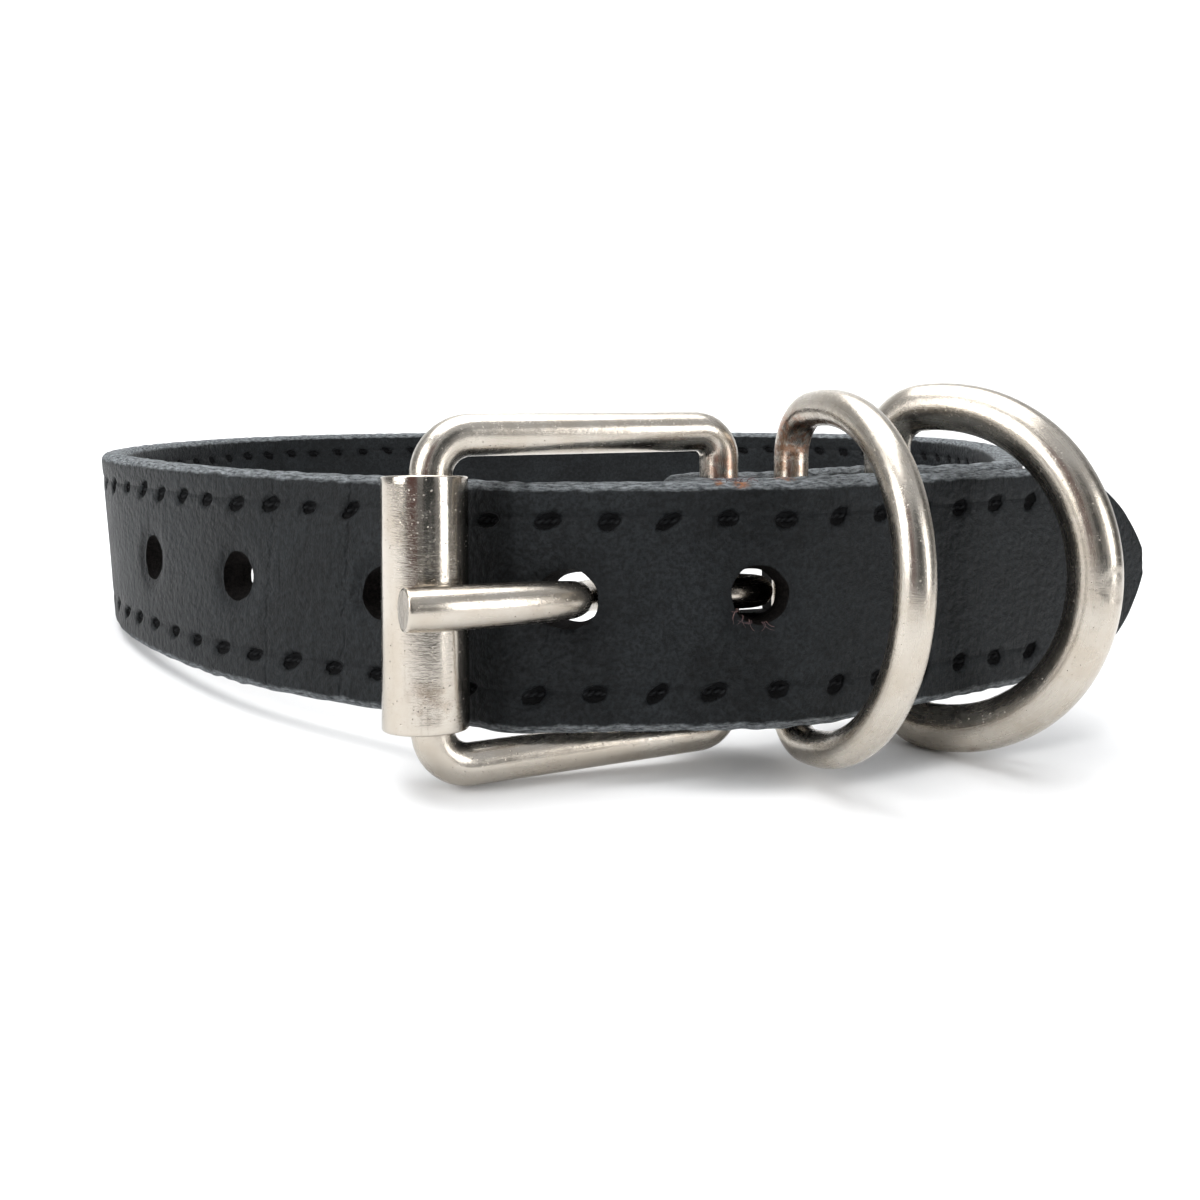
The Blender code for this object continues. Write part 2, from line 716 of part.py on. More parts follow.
def settle(stand, pieces):
    """Turn the collar to where its weight lies lowest on the floor, then centre it there."""
    cloud = np.vstack([world_points(item) for item in pieces])
    total = 0.0
    centre = np.zeros(3)
    for item in pieces:
        volume, middle = solid_moments(item)
        weight = volume * (LEATHER_DENSITY if item.name == "strap" else METAL_DENSITY)
        total += weight
        centre += weight * middle
    centre /= total

    def height(tilt):
        up = np.array([tilt[0], tilt[1], 1.0])
        up /= np.linalg.norm(up)
        return centre @ up - (cloud @ up).min()

    tilt = [0.0, 0.0]
    step = 0.02
    while step > 1e-6:
        trials = [(tilt[0] + a * step, tilt[1] + b * step) for a in (-1, 0, 1) for b in (-1, 0, 1)]
        best = min(trials, key=height)
        if height(best) < height(tilt) - 1e-12:
            tilt = list(best)
        else:
            step *= 0.5
    up = Vector((tilt[0], tilt[1], 1.0)).normalized()
    turn = up.rotation_difference(Vector((0.0, 0.0, 1.0))).to_matrix()
    placed = cloud @ np.array(turn).T
    low = placed.min(axis=0)
    high = placed.max(axis=0)
    shift = Vector((-(low[0] + high[0]) / 2, -(low[1] + high[1]) / 2, -low[2]))
    stand.matrix_world = Matrix.Translation(shift) @ turn.to_4x4()


def main():
    clear_scene()
    group = make_collection("dog_collar")
    cutters = make_collection("cutters")
    leather = make_material("leather", (0.022, 0.024, 0.027), 0.0, 0.55)
    frame_metal = make_material("frame_metal", (0.62, 0.57, 0.50), 1.0, 0.32)
    roller_metal = make_material("roller_metal", (0.62, 0.57, 0.50), 1.0, 0.34)
    tongue_metal = make_material("tongue_metal", (0.60, 0.55, 0.48), 1.0, 0.34)
    keeper_metal = make_material("keeper_metal", (0.60, 0.55, 0.48), 1.0, 0.32)
    leash_metal = make_material("leash_metal", (0.62, 0.57, 0.50), 1.0, 0.32)

    strap = make_strap(group, cutters)
    frame = make_frame(group)
    roller = make_roller(group)
    tongue = make_tongue(group)
    keeper_at = ring_frame(KEEPER_STATION, KEEPER_WIRE, KEEPER_SWING, KEEPER_DROOP, KEEPER_LIFT)
    keeper = make_ring(
        "keeper_ring", KEEPER_WIRE, KEEPER_OPENING, KEEPER_REACH, KEEPER_CORNER, keeper_at, group
    )
    leash_at = ring_frame(LEASH_STATION, LEASH_WIRE, LEASH_SWING, LEASH_DROOP, LEASH_LIFT)
    leash = make_ring(
        "leash_ring", LEASH_WIRE, LEASH_OPENING, LEASH_REACH, LEASH_CORNER, leash_at, group
    )
    for item, material in (
        (strap, leather),
        (frame, frame_metal),
        (roller, roller_metal),
        (tongue, tongue_metal),
        (keeper, keeper_metal),
        (leash, leash_metal),
    ):
        item.data.materials.clear()
        item.data.materials.append(material)

    pieces = [strap, frame, roller, tongue, keeper, leash]
    bpy.context.view_layer.update()
    stand = bpy.data.objects.new("stand", None)
    group.objects.link(stand)
    settle(stand, pieces)
    for item in [*pieces, *cutters.objects]:
        item.parent = stand
    bpy.context.view_layer.update()


main()
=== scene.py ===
"""Looks of the dog collar: black pebbled leather with sewn edges and worn nickel hardware."""
import math

import bmesh
import bpy
import numpy as np
from mathutils import Matrix, Vector


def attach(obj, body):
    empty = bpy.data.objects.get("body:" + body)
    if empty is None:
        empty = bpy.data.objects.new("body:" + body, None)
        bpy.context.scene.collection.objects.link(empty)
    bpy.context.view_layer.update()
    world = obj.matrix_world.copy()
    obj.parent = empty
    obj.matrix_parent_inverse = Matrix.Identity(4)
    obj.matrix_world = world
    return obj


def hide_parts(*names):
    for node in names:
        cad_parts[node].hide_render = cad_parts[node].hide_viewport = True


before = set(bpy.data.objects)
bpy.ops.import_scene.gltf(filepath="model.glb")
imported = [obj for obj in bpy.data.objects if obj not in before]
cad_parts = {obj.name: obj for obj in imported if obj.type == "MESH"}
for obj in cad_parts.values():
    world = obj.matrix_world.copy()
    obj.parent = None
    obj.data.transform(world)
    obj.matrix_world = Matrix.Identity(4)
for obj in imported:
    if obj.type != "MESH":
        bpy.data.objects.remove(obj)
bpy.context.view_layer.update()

MM = 0.001
SEED = np.random.default_rng(7)

# Sizes of the solids, the same as in the part's source
STRAP_WIDTH = 25.0 * MM
STRAP_THICKNESS = 3.6 * MM
STRAP_EDGE_ROUND = 1.15 * MM
LOOP_WIDTH = 149.0 * MM
LOOP_DEPTH = 139.0 * MM
LOOP_SHIFT = 13.0 * MM
BILLET_REACH = 60.2 * MM
TIP_LENGTH = 19.0 * MM
TIP_NOSE_RADIUS = 3.5 * MM
TIP_NOSE_ANGLE = 68.0
FOLD_REACH = 34.5 * MM
FOLD_BEND_START = -1.0 * MM
FOLD_BEND_END = 10.0 * MM
FOLD_START_ANGLE = 3.0
FOLD_END_ANGLE = 31.0
FRONT_LEAN = 6.0
HOLE_DIAMETER = 6.1 * MM
TONGUE_HOLE_REACH = 16.0 * MM
HOLE_PITCH = 21.8 * MM
FREE_HOLE_PITCH = 18.3 * MM
FREE_HOLE_RISE = 1.1 * MM
HOLES_ON_LOOP = 3
TONGUE_HOLE_SLANT = 22.0
TONGUE_SLOT_HEIGHT = 5.4 * MM
GAP = 0.3 * MM
FRAME_WIRE = 4.2 * MM
FRAME_WINDOW = 28.0 * MM
FRAME_PITCH = 32.0 * MM
FRAME_CORNER = 3.9 * MM
FRAME_HEEL_CORNER = 2.9 * MM
FRAME_TURN = 24.0
FRAME_LIFT = (FRAME_WINDOW - STRAP_WIDTH) / 2 - GAP
ROLLER_DIAMETER = 8.4 * MM
ROLLER_WALL = 0.55 * MM
ROLLER_LENGTH = 24.3 * MM
ROLLER_SAG = 0.5
TONGUE_WIRE = 4.2 * MM
TONGUE_LOOP_WIRE = 3.3 * MM
TONGUE_OVERHANG = 4.5 * MM
TONGUE_END_ANGLE = 27.0
TONGUE_TURN = 2.6 * MM
TONGUE_LOOP_ANGLE = 235.0
KEEPER = dict(wire=3.8, opening=32.0, reach=23.8, corner=4.8, station=9.6, swing=72.0, droop=5.0, lift=1.3)
LEASH = dict(wire=5.4, opening=31.6, reach=23.8, corner=4.8, station=26.0, swing=46.0, droop=1.5, lift=0.8)

# Where the collar rests: turn and place of its design axes on the floor
STAND = Matrix((
    (0.9985425, 0.0002952, -0.0539695, 0.0176368),
    (0.0002952, 0.9999402, 0.0109319, -0.0592190),
    (0.0539695, -0.0109319, 0.9984828, 0.0183979),
    (0.0, 0.0, 0.0, 1.0),
))

# Free run of the loop: across and back as shares of the loop's half width and depth, lean in degrees
LOOP_RUN = [
    (0.690, 0.166, 3.0), (0.748, 0.222, 1.0), (0.815, 0.325, 0.0), (0.890, 0.468, 0.0),
    (0.935, 0.620, 0.0), (0.905, 0.785, 0.0), (0.735, 0.912, 0.0), (0.415, 0.981, 0.0),
    (0.000, 1.000, 0.0), (-0.415, 0.981, 0.0), (-0.760, 0.908, 0.0), (-0.970, 0.775, -1.0),
    (-1.045, 0.610, -3.0), (-1.045, 0.475, -4.0), (-0.998, 0.365, -3.0), (-0.924, 0.283, -1.0),
    (-0.812, 0.203, 2.0), (-0.660, 0.118, 4.0), (-0.550, 0.068, 5.0), (-0.440, 0.030, 6.0),
]

# Sewing: the rows and one seen stitch in each, the awl marks and the thread
STITCH_ROW = STRAP_WIDTH / 2 - 3.9 * MM
STITCH_PITCH = 6.0 * MM
SEWING_START = 9 * MM
SEWING_END = 20 * MM
UPPER_STITCH = 497.3 * MM
LOWER_STITCH = 501.9 * MM
AWL_HALF_LENGTH = 1.20 * MM
AWL_HALF_WIDTH = 0.80 * MM
AWL_DEPTH = 0.85 * MM
AWL_SLANT = 0.30
GROOVE_DEPTH = 0.10 * MM
THREAD_RADIUS = 0.27 * MM
THREAD_SUNK = 0.60 * MM
THREAD_DIP = 0.50 * MM

# Holes: how much each narrows inward, and how far its rim is pressed in
HOLE_SHUT_USED = 0.20
HOLE_SHUT_UNUSED = 0.55
RIM_DEPTH = 0.34 * MM

# Wear, in millimetres along the strap from the fold's end.
# Chips: place, reach, start across, fleck limits, strength. Creases: place, sway, width.
RUBBED_CHIPS = [
    (516.6, 1.1, 11.6, 0.40, 0.52, 1.0),
    (514.4, 0.7, 11.8, 0.42, 0.55, 1.0),
    (29.0, 1.6, 11.6, 0.42, 0.55, 0.7),
]
RUBBED_SPOTS = (514.4, 515.2, 516.2, 516.8, 517.5)
CREASES = [(461.9, 3.0, 0.55), (473.3, 2.0, 0.45)]
FIBRE_RADIUS = 0.044 * MM

# How finely the round things are divided
HOLE_SIDES = 44
WIRE_SIDES = 32
WIRE_STEP = 0.55 * MM
ROLLER_SIDES = 96
THREAD_SIDES = 8
THREAD_STEPS = 9
FIBRE_SIDES = 5

# Colours of the leather, its edges, its holes and its thread, with painted shade for the awl pits, the
# pressed grooves and the hole walls
DEEP_BLACK = (0.0030, 0.0040, 0.0046)
WORN_BLACK = (0.0085, 0.0105, 0.0118)
PEBBLE_BLACK = (0.016, 0.018, 0.020)
FLECK_GREY = (0.045, 0.048, 0.052)
# painted shade: colour that darkens the awl pits
PAINTED_PIT_SHADE = (0.0012, 0.0012, 0.0014)
# painted shade: colour that darkens the pressed stitch grooves and hole rims
PAINTED_GROOVE_SHADE = (0.005, 0.006, 0.007)
EDGE_DARK = (0.018, 0.021, 0.023)
EDGE_LIGHT = (0.36, 0.385, 0.40)
EDGE_MOTTLE = (0.022, 0.025, 0.03)
RAW_ORANGE = (0.45, 0.17, 0.06)
RAW_BROWN = (0.20, 0.09, 0.04)
# painted shade: the hole walls darkened nearly to black, the brown fibre tone partly the hide's own
HOLE_WALL_SHADE = (0.0015, 0.0013, 0.0012)
HOLE_WALL_SHADED_BROWN = (0.014, 0.011, 0.010)
THREAD_DARK = (0.003, 0.003, 0.0035)
THREAD_LIGHT = (0.012, 0.013, 0.014)
FIBRE_DARK = (0.045, 0.024, 0.028)
FIBRE_LIGHT = (0.15, 0.085, 0.08)

# Metal. Stains: place in millimetres, inner and outer reach, colour, strength.
# Dents: place, inner and outer reach, depth.
WARM_NICKEL = (0.475, 0.437, 0.385)
COPPER = (0.30, 0.13, 0.07)
BROWN = (0.16, 0.10, 0.06)
PINK_RUST = (0.42, 0.25, 0.20)
YELLOW_RUST = (0.50, 0.36, 0.20)
FRAME_STAINS = [
    ((17.0, -60.5, 32.0), 1.0, 3.2, COPPER, 0.6),
    ((-13.5, -76.0, 34.0), 0.8, 3.5, PINK_RUST, 0.5),
]
ROLLER_STAINS = [
    ((-10.7, -77.1, 10.0), 0.5, 3.0, BROWN, 0.45),
    ((-11.0, -76.6, 21.8), 0.3, 1.6, YELLOW_RUST, 0.6),
]
KEEPER_STAINS = [
    ((24.6, -57.2, 35.0), 1.5, 5.0, COPPER, 0.75),
    ((24.0, -56.0, 32.5), 1.0, 4.0, BROWN, 0.6),
]
LEASH_STAINS = [((47.7, -58.2, 1.7), 0.3, 1.6, BROWN, 0.5)]
LEASH_DENTS = [((56.8, -67.0, 22.5), 1.2, 2.2, 0.8)]

# Studio, in metres. Cards: name, colour, place, width and height.
# Lights: name, place, aim, size, power.
PAPER_WHITE = (0.86, 0.86, 0.86)
ROOM_WALL = (0.30, 0.30, 0.30)
ROOM_CEILING = (0.95, 0.97, 1.0)
DARK_CARDS = [
    ("dark_card_left", (0.075, 0.030, 0.026), (-0.200, -0.480, 0.27), (0.22, 0.46)),
    ("dark_card_right", (0.018, 0.021, 0.022), (0.150, -0.490, 0.27), (0.24, 0.46)),
    ("dark_card_far", (0.05, 0.048, 0.045), (0.60, 0.02, 0.26), (0.26, 0.50)),
]
SOFT_LIGHTS = [
    ("overhead_softbox", (-0.10, 0.10, 0.75), (0, 0, 0), (0.9, 0.7), 9.0),
    ("left_window", (-0.75, -0.45, 0.40), (0, 0, 0.02), (0.5, 0.6), 5.5),
    ("right_fill", (0.78, -0.50, 0.30), (0, 0, 0.02), (0.30, 0.50), 3.0),
]

# Camera fitted to the picture: pixels of focal length, width and horizon, degrees of dip
FOCAL_PIXELS = 1070.0
PICTURE_PIXELS = 1200.0
HORIZON_PIXELS = 396.0
CAMERA_DIP = 6.0
CAMERA_PLACE = (-13 * MM, -114.65 * MM, 21 * MM)


def smooth(value):
    """0 to 1 with a soft start and end."""
    value = min(max(value, 0.0), 1.0)
    return value * value * (3.0 - 2.0 * value)


def fold_angle(u):
    """Direction of the fold in radians at a distance from the heel bar."""
    share = smooth((u - FOLD_BEND_START) / (FOLD_BEND_END - FOLD_BEND_START))
    return math.radians(FOLD_START_ANGLE + (FOLD_END_ANGLE - FOLD_START_ANGLE) * share)


def fold_line(u):
    """Point on the fold at a distance from the heel bar, and the way outward."""
    angle = fold_angle(0.0)
    normal = Vector((math.sin(angle), -math.cos(angle)))
    point = normal * (FRAME_WIRE / 2 + GAP)
    steps = max(2, int(abs(u) / (0.25 * MM)))
    step = u / steps
    for index in range(steps):
        angle = fold_angle((index + 0.5) * step)
        point = point + Vector((math.cos(angle), math.sin(angle))) * step
    angle = fold_angle(u)
    return point, Vector((math.sin(angle), -math.cos(angle)))


def beside_fold(u, offset):
    """Point at an offset from the fold's inner face."""
    point, normal = fold_line(u)
    return point + normal * offset


def inner_gap(u):
    """Room between the two layers of the fold, wide at each wire."""
    stations = [
        (0.0, FRAME_WIRE),
        (KEEPER["station"] * MM, KEEPER["wire"] * MM),
        (LEASH["station"] * MM, LEASH["wire"] * MM),
        (FOLD_REACH + LEASH["wire"] * MM, 0.0),
    ]
    for (u0, wire0), (u1, wire1) in zip(stations, stations[1:]):
        if u <= u1:
            share = smooth((u - u0) / (u1 - u0))
            return max(wire0 + (wire1 - wire0) * share, 0.0) + 2 * GAP
    return 2 * GAP


def between(t, t0, a, t1, b):
    """Part of the way from a to b."""
    return (t1 - t) / (t1 - t0) * a + (t - t0) / (t1 - t0) * b


def catmull(points, spacing):
    """Smooth curve through points."""
    pts = [np.array(p, float) for p in points]
    pts = [2 * pts[0] - pts[1], *pts, 2 * pts[-1] - pts[-2]]
    out = []
    for p0, p1, p2, p3 in zip(pts, pts[1:], pts[2:], pts[3:]):
        knots = [0.0]
        for start, end in ((p0, p1), (p1, p2), (p2, p3)):
            knots.append(knots[-1] + max(np.linalg.norm((end - start)[:2]), 1e-9) ** 0.5)
        t0, t1, t2, t3 = knots
        count = max(1, int(np.linalg.norm((p2 - p1)[:2]) / spacing))
        for index in range(count):
            t = t1 + (t2 - t1) * index / count
            a1 = between(t, t0, p0, t1, p1)
            a2 = between(t, t1, p1, t2, p2)
            a3 = between(t, t2, p2, t3, p3)
            b1 = between(t, t0, a1, t2, a2)
            b2 = between(t, t1, a2, t3, a3)
            out.append(between(t, t1, b1, t2, b2))
    out.append(pts[-2])
    return out


def end_bar_place():
    """Middle of the frame's end bar in plan."""
    turn = math.radians(FRAME_TURN)
    return Vector((-math.cos(turn), -math.sin(turn))) * FRAME_PITCH


def roller_place():
    """Middle of the roller in plan, resting on the end bar."""
    play = (ROLLER_DIAMETER - 2 * ROLLER_WALL - FRAME_WIRE) / 2 - GAP
    return end_bar_place() + Vector((-ROLLER_SAG * play, 0.0))


def strap_line():
    """Centre line of the whole strap in plan, with its lean, from the fold's end to the tip."""
    half = STRAP_THICKNESS / 2
    spacing = 0.5 * MM
    line = []
    count = int(FOLD_REACH / spacing)
    for index in range(count + 1):
        u = FOLD_REACH * (1 - index / count)
        line.append((*beside_fold(u, half), -FRONT_LEAN))
    front = fold_angle(0.0)
    radius = FRAME_WIRE / 2 + GAP + half
    for index in range(1, 24):
        turned = math.pi * index / 24
        angle = front - math.pi / 2 - turned
        line.append((radius * math.cos(angle), radius * math.sin(angle), -FRONT_LEAN * math.cos(turned)))
    for index in range(count + 1):
        u = FOLD_REACH * index / count
        line.append((*beside_fold(u, -inner_gap(u) - half), FRONT_LEAN))
    fold_end = len(line)
    outer = STRAP_THICKNESS + GAP + half
    route = [line[-12], line[-1]]
    for across, back, lean in LOOP_RUN:
        route.append((across * LOOP_WIDTH / 2 - LOOP_SHIFT, back * LOOP_DEPTH, lean))
    clear = ROLLER_DIAMETER / 2 + half
    behind = roller_place() + Vector((0.30, 0.95)).normalized() * (clear + 1.9 * MM)
    route.append((*behind, FRONT_LEAN))
    crest = beside_fold(-(TONGUE_HOLE_REACH + HOLE_DIAMETER), outer)
    route.append((*(crest + Vector((0.0, 0.2 * MM))), FRONT_LEAN))
    first = -(TONGUE_HOLE_REACH + HOLE_DIAMETER * 0.35)
    route.append((*beside_fold(first, outer), FRONT_LEAN))
    second = first + 3 * MM
    route.append((*beside_fold(second, outer), FRONT_LEAN))
    run = catmull(route, spacing)
    seam = min(range(len(run)), key=lambda i: np.linalg.norm(run[i][:2] - np.array(line[-1][:2])))
    line.extend(tuple(p) for p in run[seam + 1:])
    reach = BILLET_REACH - second
    count = int(reach / spacing)
    for index in range(1, count + 1):
        line.append((*beside_fold(second + reach * index / count, outer), FRONT_LEAN))
    return np.array(line, float), fold_end


def place_frame(centre, along, lean):
    """Frame at a centre: along the strap, through it, and across it with its lean."""
    inside = Vector((-along.y, along.x, 0.0))
    tilt = math.radians(lean)
    across = Vector((0.0, 0.0, 1.0)) * math.cos(tilt) + inside * math.sin(tilt)
    through = across.cross(along)
    return Matrix.Translation(centre) @ Matrix((along, through, across)).transposed().to_4x4()


def heel_frame():
    """Frame at the heel bar."""
    angle = fold_angle(0.0)
    return place_frame(Vector((0.0, 0.0, 0.0)), Vector((math.cos(angle), math.sin(angle), 0.0)), FRONT_LEAN)


def lean_point(place, base):
    """Point in plan moved into a frame's leaning plane."""
    along = base.col[0].to_3d()
    through = base.col[1].to_3d()
    flat = Vector((-along.y, along.x, 0.0))
    return along * place.dot(along) + through * place.dot(flat)


def run_lengths(points):
    """Length along a path at each of its points."""
    steps = np.linalg.norm(np.diff(points, axis=0), axis=1)
    return np.concatenate(([0.0], np.cumsum(steps)))


def add_mesh(name, verts, faces, material):
    mesh = bpy.data.meshes.new(name)
    mesh.from_pydata([tuple(v) for v in verts], [], faces)
    mesh.polygons.foreach_set("use_smooth", [True] * len(mesh.polygons))
    mesh.materials.append(material)
    item = bpy.data.objects.new(name, mesh)
    bpy.context.scene.collection.objects.link(item)
    return item


def add_piece(name, verts, faces, uv, material, body, slot, *replaced):
    """A smooth piece with its faces turned outward, on its body."""
    piece = add_mesh(name, verts, faces, material)
    mesh = piece.data
    layer = mesh.uv_layers.new(name="strap_mm")
    corner = np.empty(len(mesh.loops), int)
    mesh.loops.foreach_get("vertex_index", corner)
    layer.data.foreach_set("uv", np.asarray(uv, float)[corner].ravel())
    work = bmesh.new()
    work.from_mesh(mesh)
    bmesh.ops.recalc_face_normals(work, faces=work.faces)
    work.to_mesh(mesh)
    work.free()
    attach(piece, body)
    if replaced:
        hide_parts(*replaced)
    return piece


def tube_faces(rings, sides, closed=False, first=0):
    """Quads between rings of points, and back to the first ring where the tube is closed."""
    faces = []
    for k in range(rings if closed else rings - 1):
        low = first + k * sides
        high = first + (k + 1) % rings * sides
        for q in range(sides):
            p = (q + 1) % sides
            faces.append((low + q, low + p, high + p, high + q))
    return faces


class Tap:
    """A socket that can be added, scaled and compared in a Python expression."""

    def __init__(self, wiring, socket):
        self.wiring = wiring
        self.socket = socket

    def maths(self, operation, *values):
        return self.wiring.node("ShaderNodeMath", {"operation": operation}, dict(enumerate(values)))

    def __add__(self, other):
        return self.maths("ADD", self, other)

    def __sub__(self, other):
        return self.maths("SUBTRACT", self, other)

    def __rsub__(self, other):
        return self.maths("SUBTRACT", other, self)

    def __mul__(self, other):
        return self.maths("MULTIPLY", self, other)

    def __abs__(self):
        return self.maths("ABSOLUTE", self)

    __radd__ = __add__
    __rmul__ = __mul__

    def most(self, other):
        return self.maths("MAXIMUM", self, other)

    def ramp(self, low, high, shape):
        stops = {"Value": self, "From Min": low, "From Max": high, "To Min": 0.0, "To Max": 1.0}
        return self.wiring.node("ShaderNodeMapRange", {"interpolation_type": shape}, stops, "Result")

    def rise(self, low, high):
        """0 below low, 1 above high, with a soft step between."""
        return self.ramp(low, high, "SMOOTHSTEP")


class Wiring:
    """A node tree and the one way its nodes are made."""

    def __init__(self, tree):
        self.tree = tree

    def node(self, kind, settings, inputs, output=0):
        made = self.tree.nodes.new(kind)
        for key, value in settings.items():
            setattr(made, key, value)
        self.plug(made, inputs)
        return Tap(self, made.outputs[output])

    def plug(self, made, inputs):
        for key, value in inputs.items():
            if isinstance(value, Tap):
                self.tree.links.new(value.socket, made.inputs[key])
            else:
                made.inputs[key].default_value = value

    def blend(self, share, low, high):
        ends = [value if isinstance(value, Tap) else (*value, 1.0) for value in (low, high)]
        return self.node("ShaderNodeMix", {"data_type": "RGBA"}, {0: share, 6: ends[0], 7: ends[1]}, 2)


class Finish(Wiring):
    """A material, with lengths in millimetres."""

    def __init__(self, name):
        self.material = bpy.data.materials.new(name)
        self.material.use_nodes = True
        super().__init__(self.material.node_tree)

    def place(self):
        raw = self.node("ShaderNodeTexCoord", {}, {}, "Object")
        return self.node("ShaderNodeVectorMath", {"operation": "SCALE"}, {0: raw, "Scale": 1 / MM})

    def run(self):
        """Length along the piece and place across it."""
        return self.node("ShaderNodeUVMap", {"uv_map": "strap_mm"}, {})

    def parts(self, vector):
        return [self.node("ShaderNodeSeparateXYZ", {}, {0: vector}, part) for part in (0, 1)]

    def mark(self, name):
        return self.node("ShaderNodeAttribute", {"attribute_name": name}, {}, "Fac")

    def stretch(self, vector, scale):
        return self.node("ShaderNodeVectorMath", {"operation": "MULTIPLY"}, {0: vector, 1: scale})

    def noise(self, vector, scale, detail, roughness, distortion=0.0):
        inputs = dict(Vector=vector, Scale=scale, Detail=detail, Roughness=roughness, Distortion=distortion)
        return self.node("ShaderNodeTexNoise", {}, inputs)

    def cells(self, vector, scale, feature="F1", output="Distance"):
        inputs = dict(Vector=vector, Scale=scale)
        return self.node("ShaderNodeTexVoronoi", {"feature": feature}, inputs, output)

    def near(self, place, centre, inner, outer):
        """1 within inner of a point, 0 beyond outer."""
        gap = self.node("ShaderNodeVectorMath", {"operation": "DISTANCE"}, {0: place, 1: centre}, "Value")
        return 1 - gap.rise(inner, outer)

    def bump(self, height, strength, distance):
        return self.node("ShaderNodeBump", {}, dict(Strength=strength, Distance=distance, Height=height))

    def surface(self, **inputs):
        shader = self.tree.nodes["Principled BSDF"]
        self.plug(shader, {key.replace("_", " "): value for key, value in inputs.items()})
        return self.material


def shade(colour, share):
    return tuple(part * share for part in colour)


def black_leather():
    """Pebbled black leather with grey fibrous cut edges, painted shade in the awl marks and pressed grooves,
    and rubbed chips.
    """
    f = Finish("black_leather")
    place = f.place()
    run = f.run()
    length, across = f.parts(run)
    drawn = f.mark("drawn")
    ragged = f.noise(place, 1.5, 3.0, 0.6)
    hollow = (f.mark("awl") + (ragged - 0.5) * 0.55).rise(0.42, 0.60)
    wander = f.noise(place, 0.55, 3.0, 0.6)
    edge = (abs(across) + (wander - 0.5) * 0.9).rise(11.45, 11.95)
    pebbles = f.cells(f.stretch(place, (1.0, 1.0, 1.25)), 1.15, "SMOOTH_F1")
    fine = f.noise(place, 2.6, 4.0, 0.65)
    pores = f.noise(place, 7.0, 2.0, 0.5)
    wrinkle = f.noise(f.stretch(run, (0.42, 0.16, 1.0)), 1.0, 4.0, 0.6, 0.8)
    patches = f.noise(place, 0.11, 3.0, 0.55)
    mottle = f.noise(place, 0.6, 5.0, 0.7)
    fibres = f.noise(f.stretch(run, (0.9, 3.2, 1.0)), 1.0, 6.0, 0.75)
    flecks = f.noise(place, 2.3, 6.0, 0.8)

    black = f.blend(patches.rise(0.35, 0.7), DEEP_BLACK, WORN_BLACK)
    black = f.blend(pebbles.rise(0.15, 0.75) * 0.35, black, PEBBLE_BLACK)
    darker, lighter = (f.stretch(black, (share,) * 3) for share in (0.45, 1.35))
    black = f.blend(fine.rise(0.36, 0.62), darker, lighter)
    black = f.blend(flecks.rise(0.66, 0.78) * 0.30, black, FLECK_GREY)
    # painted shade: the awl pits darkened in colour on top of their real depth
    black = f.blend(hollow * 0.94, black, PAINTED_PIT_SHADE)
    # painted shade along the pressed stitch grooves and round the pressed hole rims
    black = f.blend(drawn * ragged.rise(0.35, 0.6) * 0.7, black, PAINTED_GROOVE_SHADE)

    grey = f.blend(fibres.rise(0.30, 0.72), EDGE_DARK, EDGE_LIGHT)
    grey = f.blend(mottle.rise(0.52, 0.72) * 0.6, grey, EDGE_MOTTLE)
    chips = []
    for spot, reach, start, low, high, strength in RUBBED_CHIPS:
        on_edge = (1 - abs(length - spot).rise(0.0, reach)) * across.rise(start, start + 0.6)
        chips.append(on_edge * flecks.rise(low, high) * strength)
    raw = f.blend(fine, RAW_ORANGE, RAW_BROWN)
    grey = f.blend(chips[0].most(chips[1]).most(chips[2]), grey, raw)

    first, second = (abs(length - spot + (wander - 0.5) * sway).rise(0.0, width)
                     for spot, sway, width in CREASES)
    skin = pebbles * 0.55 + fine * 0.45 + pores * 0.10 + wrinkle * 0.9
    skin = skin - hollow - drawn * 0.5 + (first + second) * 0.35
    torn = fibres * 1.6 + flecks * 0.8
    relief = f.bump(skin * (1 - edge) + torn * edge, 1.0, 0.38 * MM)
    rough = (0.36 + patches * 0.16 + fine * 0.12) * (1 - edge) + edge * 0.86 + hollow * 0.3
    colour = f.blend(edge, black, grey)
    return f.surface(Base_Color=colour, Roughness=rough, Normal=relief, Specular_IOR_Level=0.15)


def shaded_hole_wall():
    """Slightly furry leather inside the punched holes, darkened with painted shade; its brown fibre tone is
    partly the hide's own.
    """
    f = Finish("punched_hole_wall_shade")
    fibre = f.noise(f.place(), 2.4, 6.0, 0.75)
    # painted shade: the walls darkened, the brown fibres partly the hide's own
    colour = f.blend(fibre.rise(0.4, 0.75), HOLE_WALL_SHADE, HOLE_WALL_SHADED_BROWN)
    return f.surface(Base_Color=colour, Roughness=0.85, Specular_IOR_Level=0.08,
                     Normal=f.bump(fibre, 0.8, 0.3 * MM))


def waxed_thread():
    """Black thread with its twist."""
    f = Finish("black_waxed_thread")
    length, turn = f.parts(f.run())
    ply = f.node("ShaderNodeMath", {"operation": "SINE"}, {0: length * 9.0 + turn * 2.0})
    colour = f.blend(ply.rise(-1.0, 1.0), THREAD_DARK, THREAD_LIGHT)
    return f.surface(Base_Color=colour, Roughness=0.7, Specular_IOR_Level=0.1,
                     Normal=f.bump(ply, 0.5, 0.1 * MM))


def raw_fibres():
    """Pinkish brown hide fibres where the dye never reached."""
    f = Finish("raw_hide_fibres")
    tone = f.noise(f.place(), 1.3, 2.0, 0.5)
    colour = f.blend(tone.rise(0.35, 0.65), FIBRE_DARK, FIBRE_LIGHT)
    return f.surface(Base_Color=colour, Roughness=0.8, Normal=f.bump(tone, 0.3, 0.1 * MM))


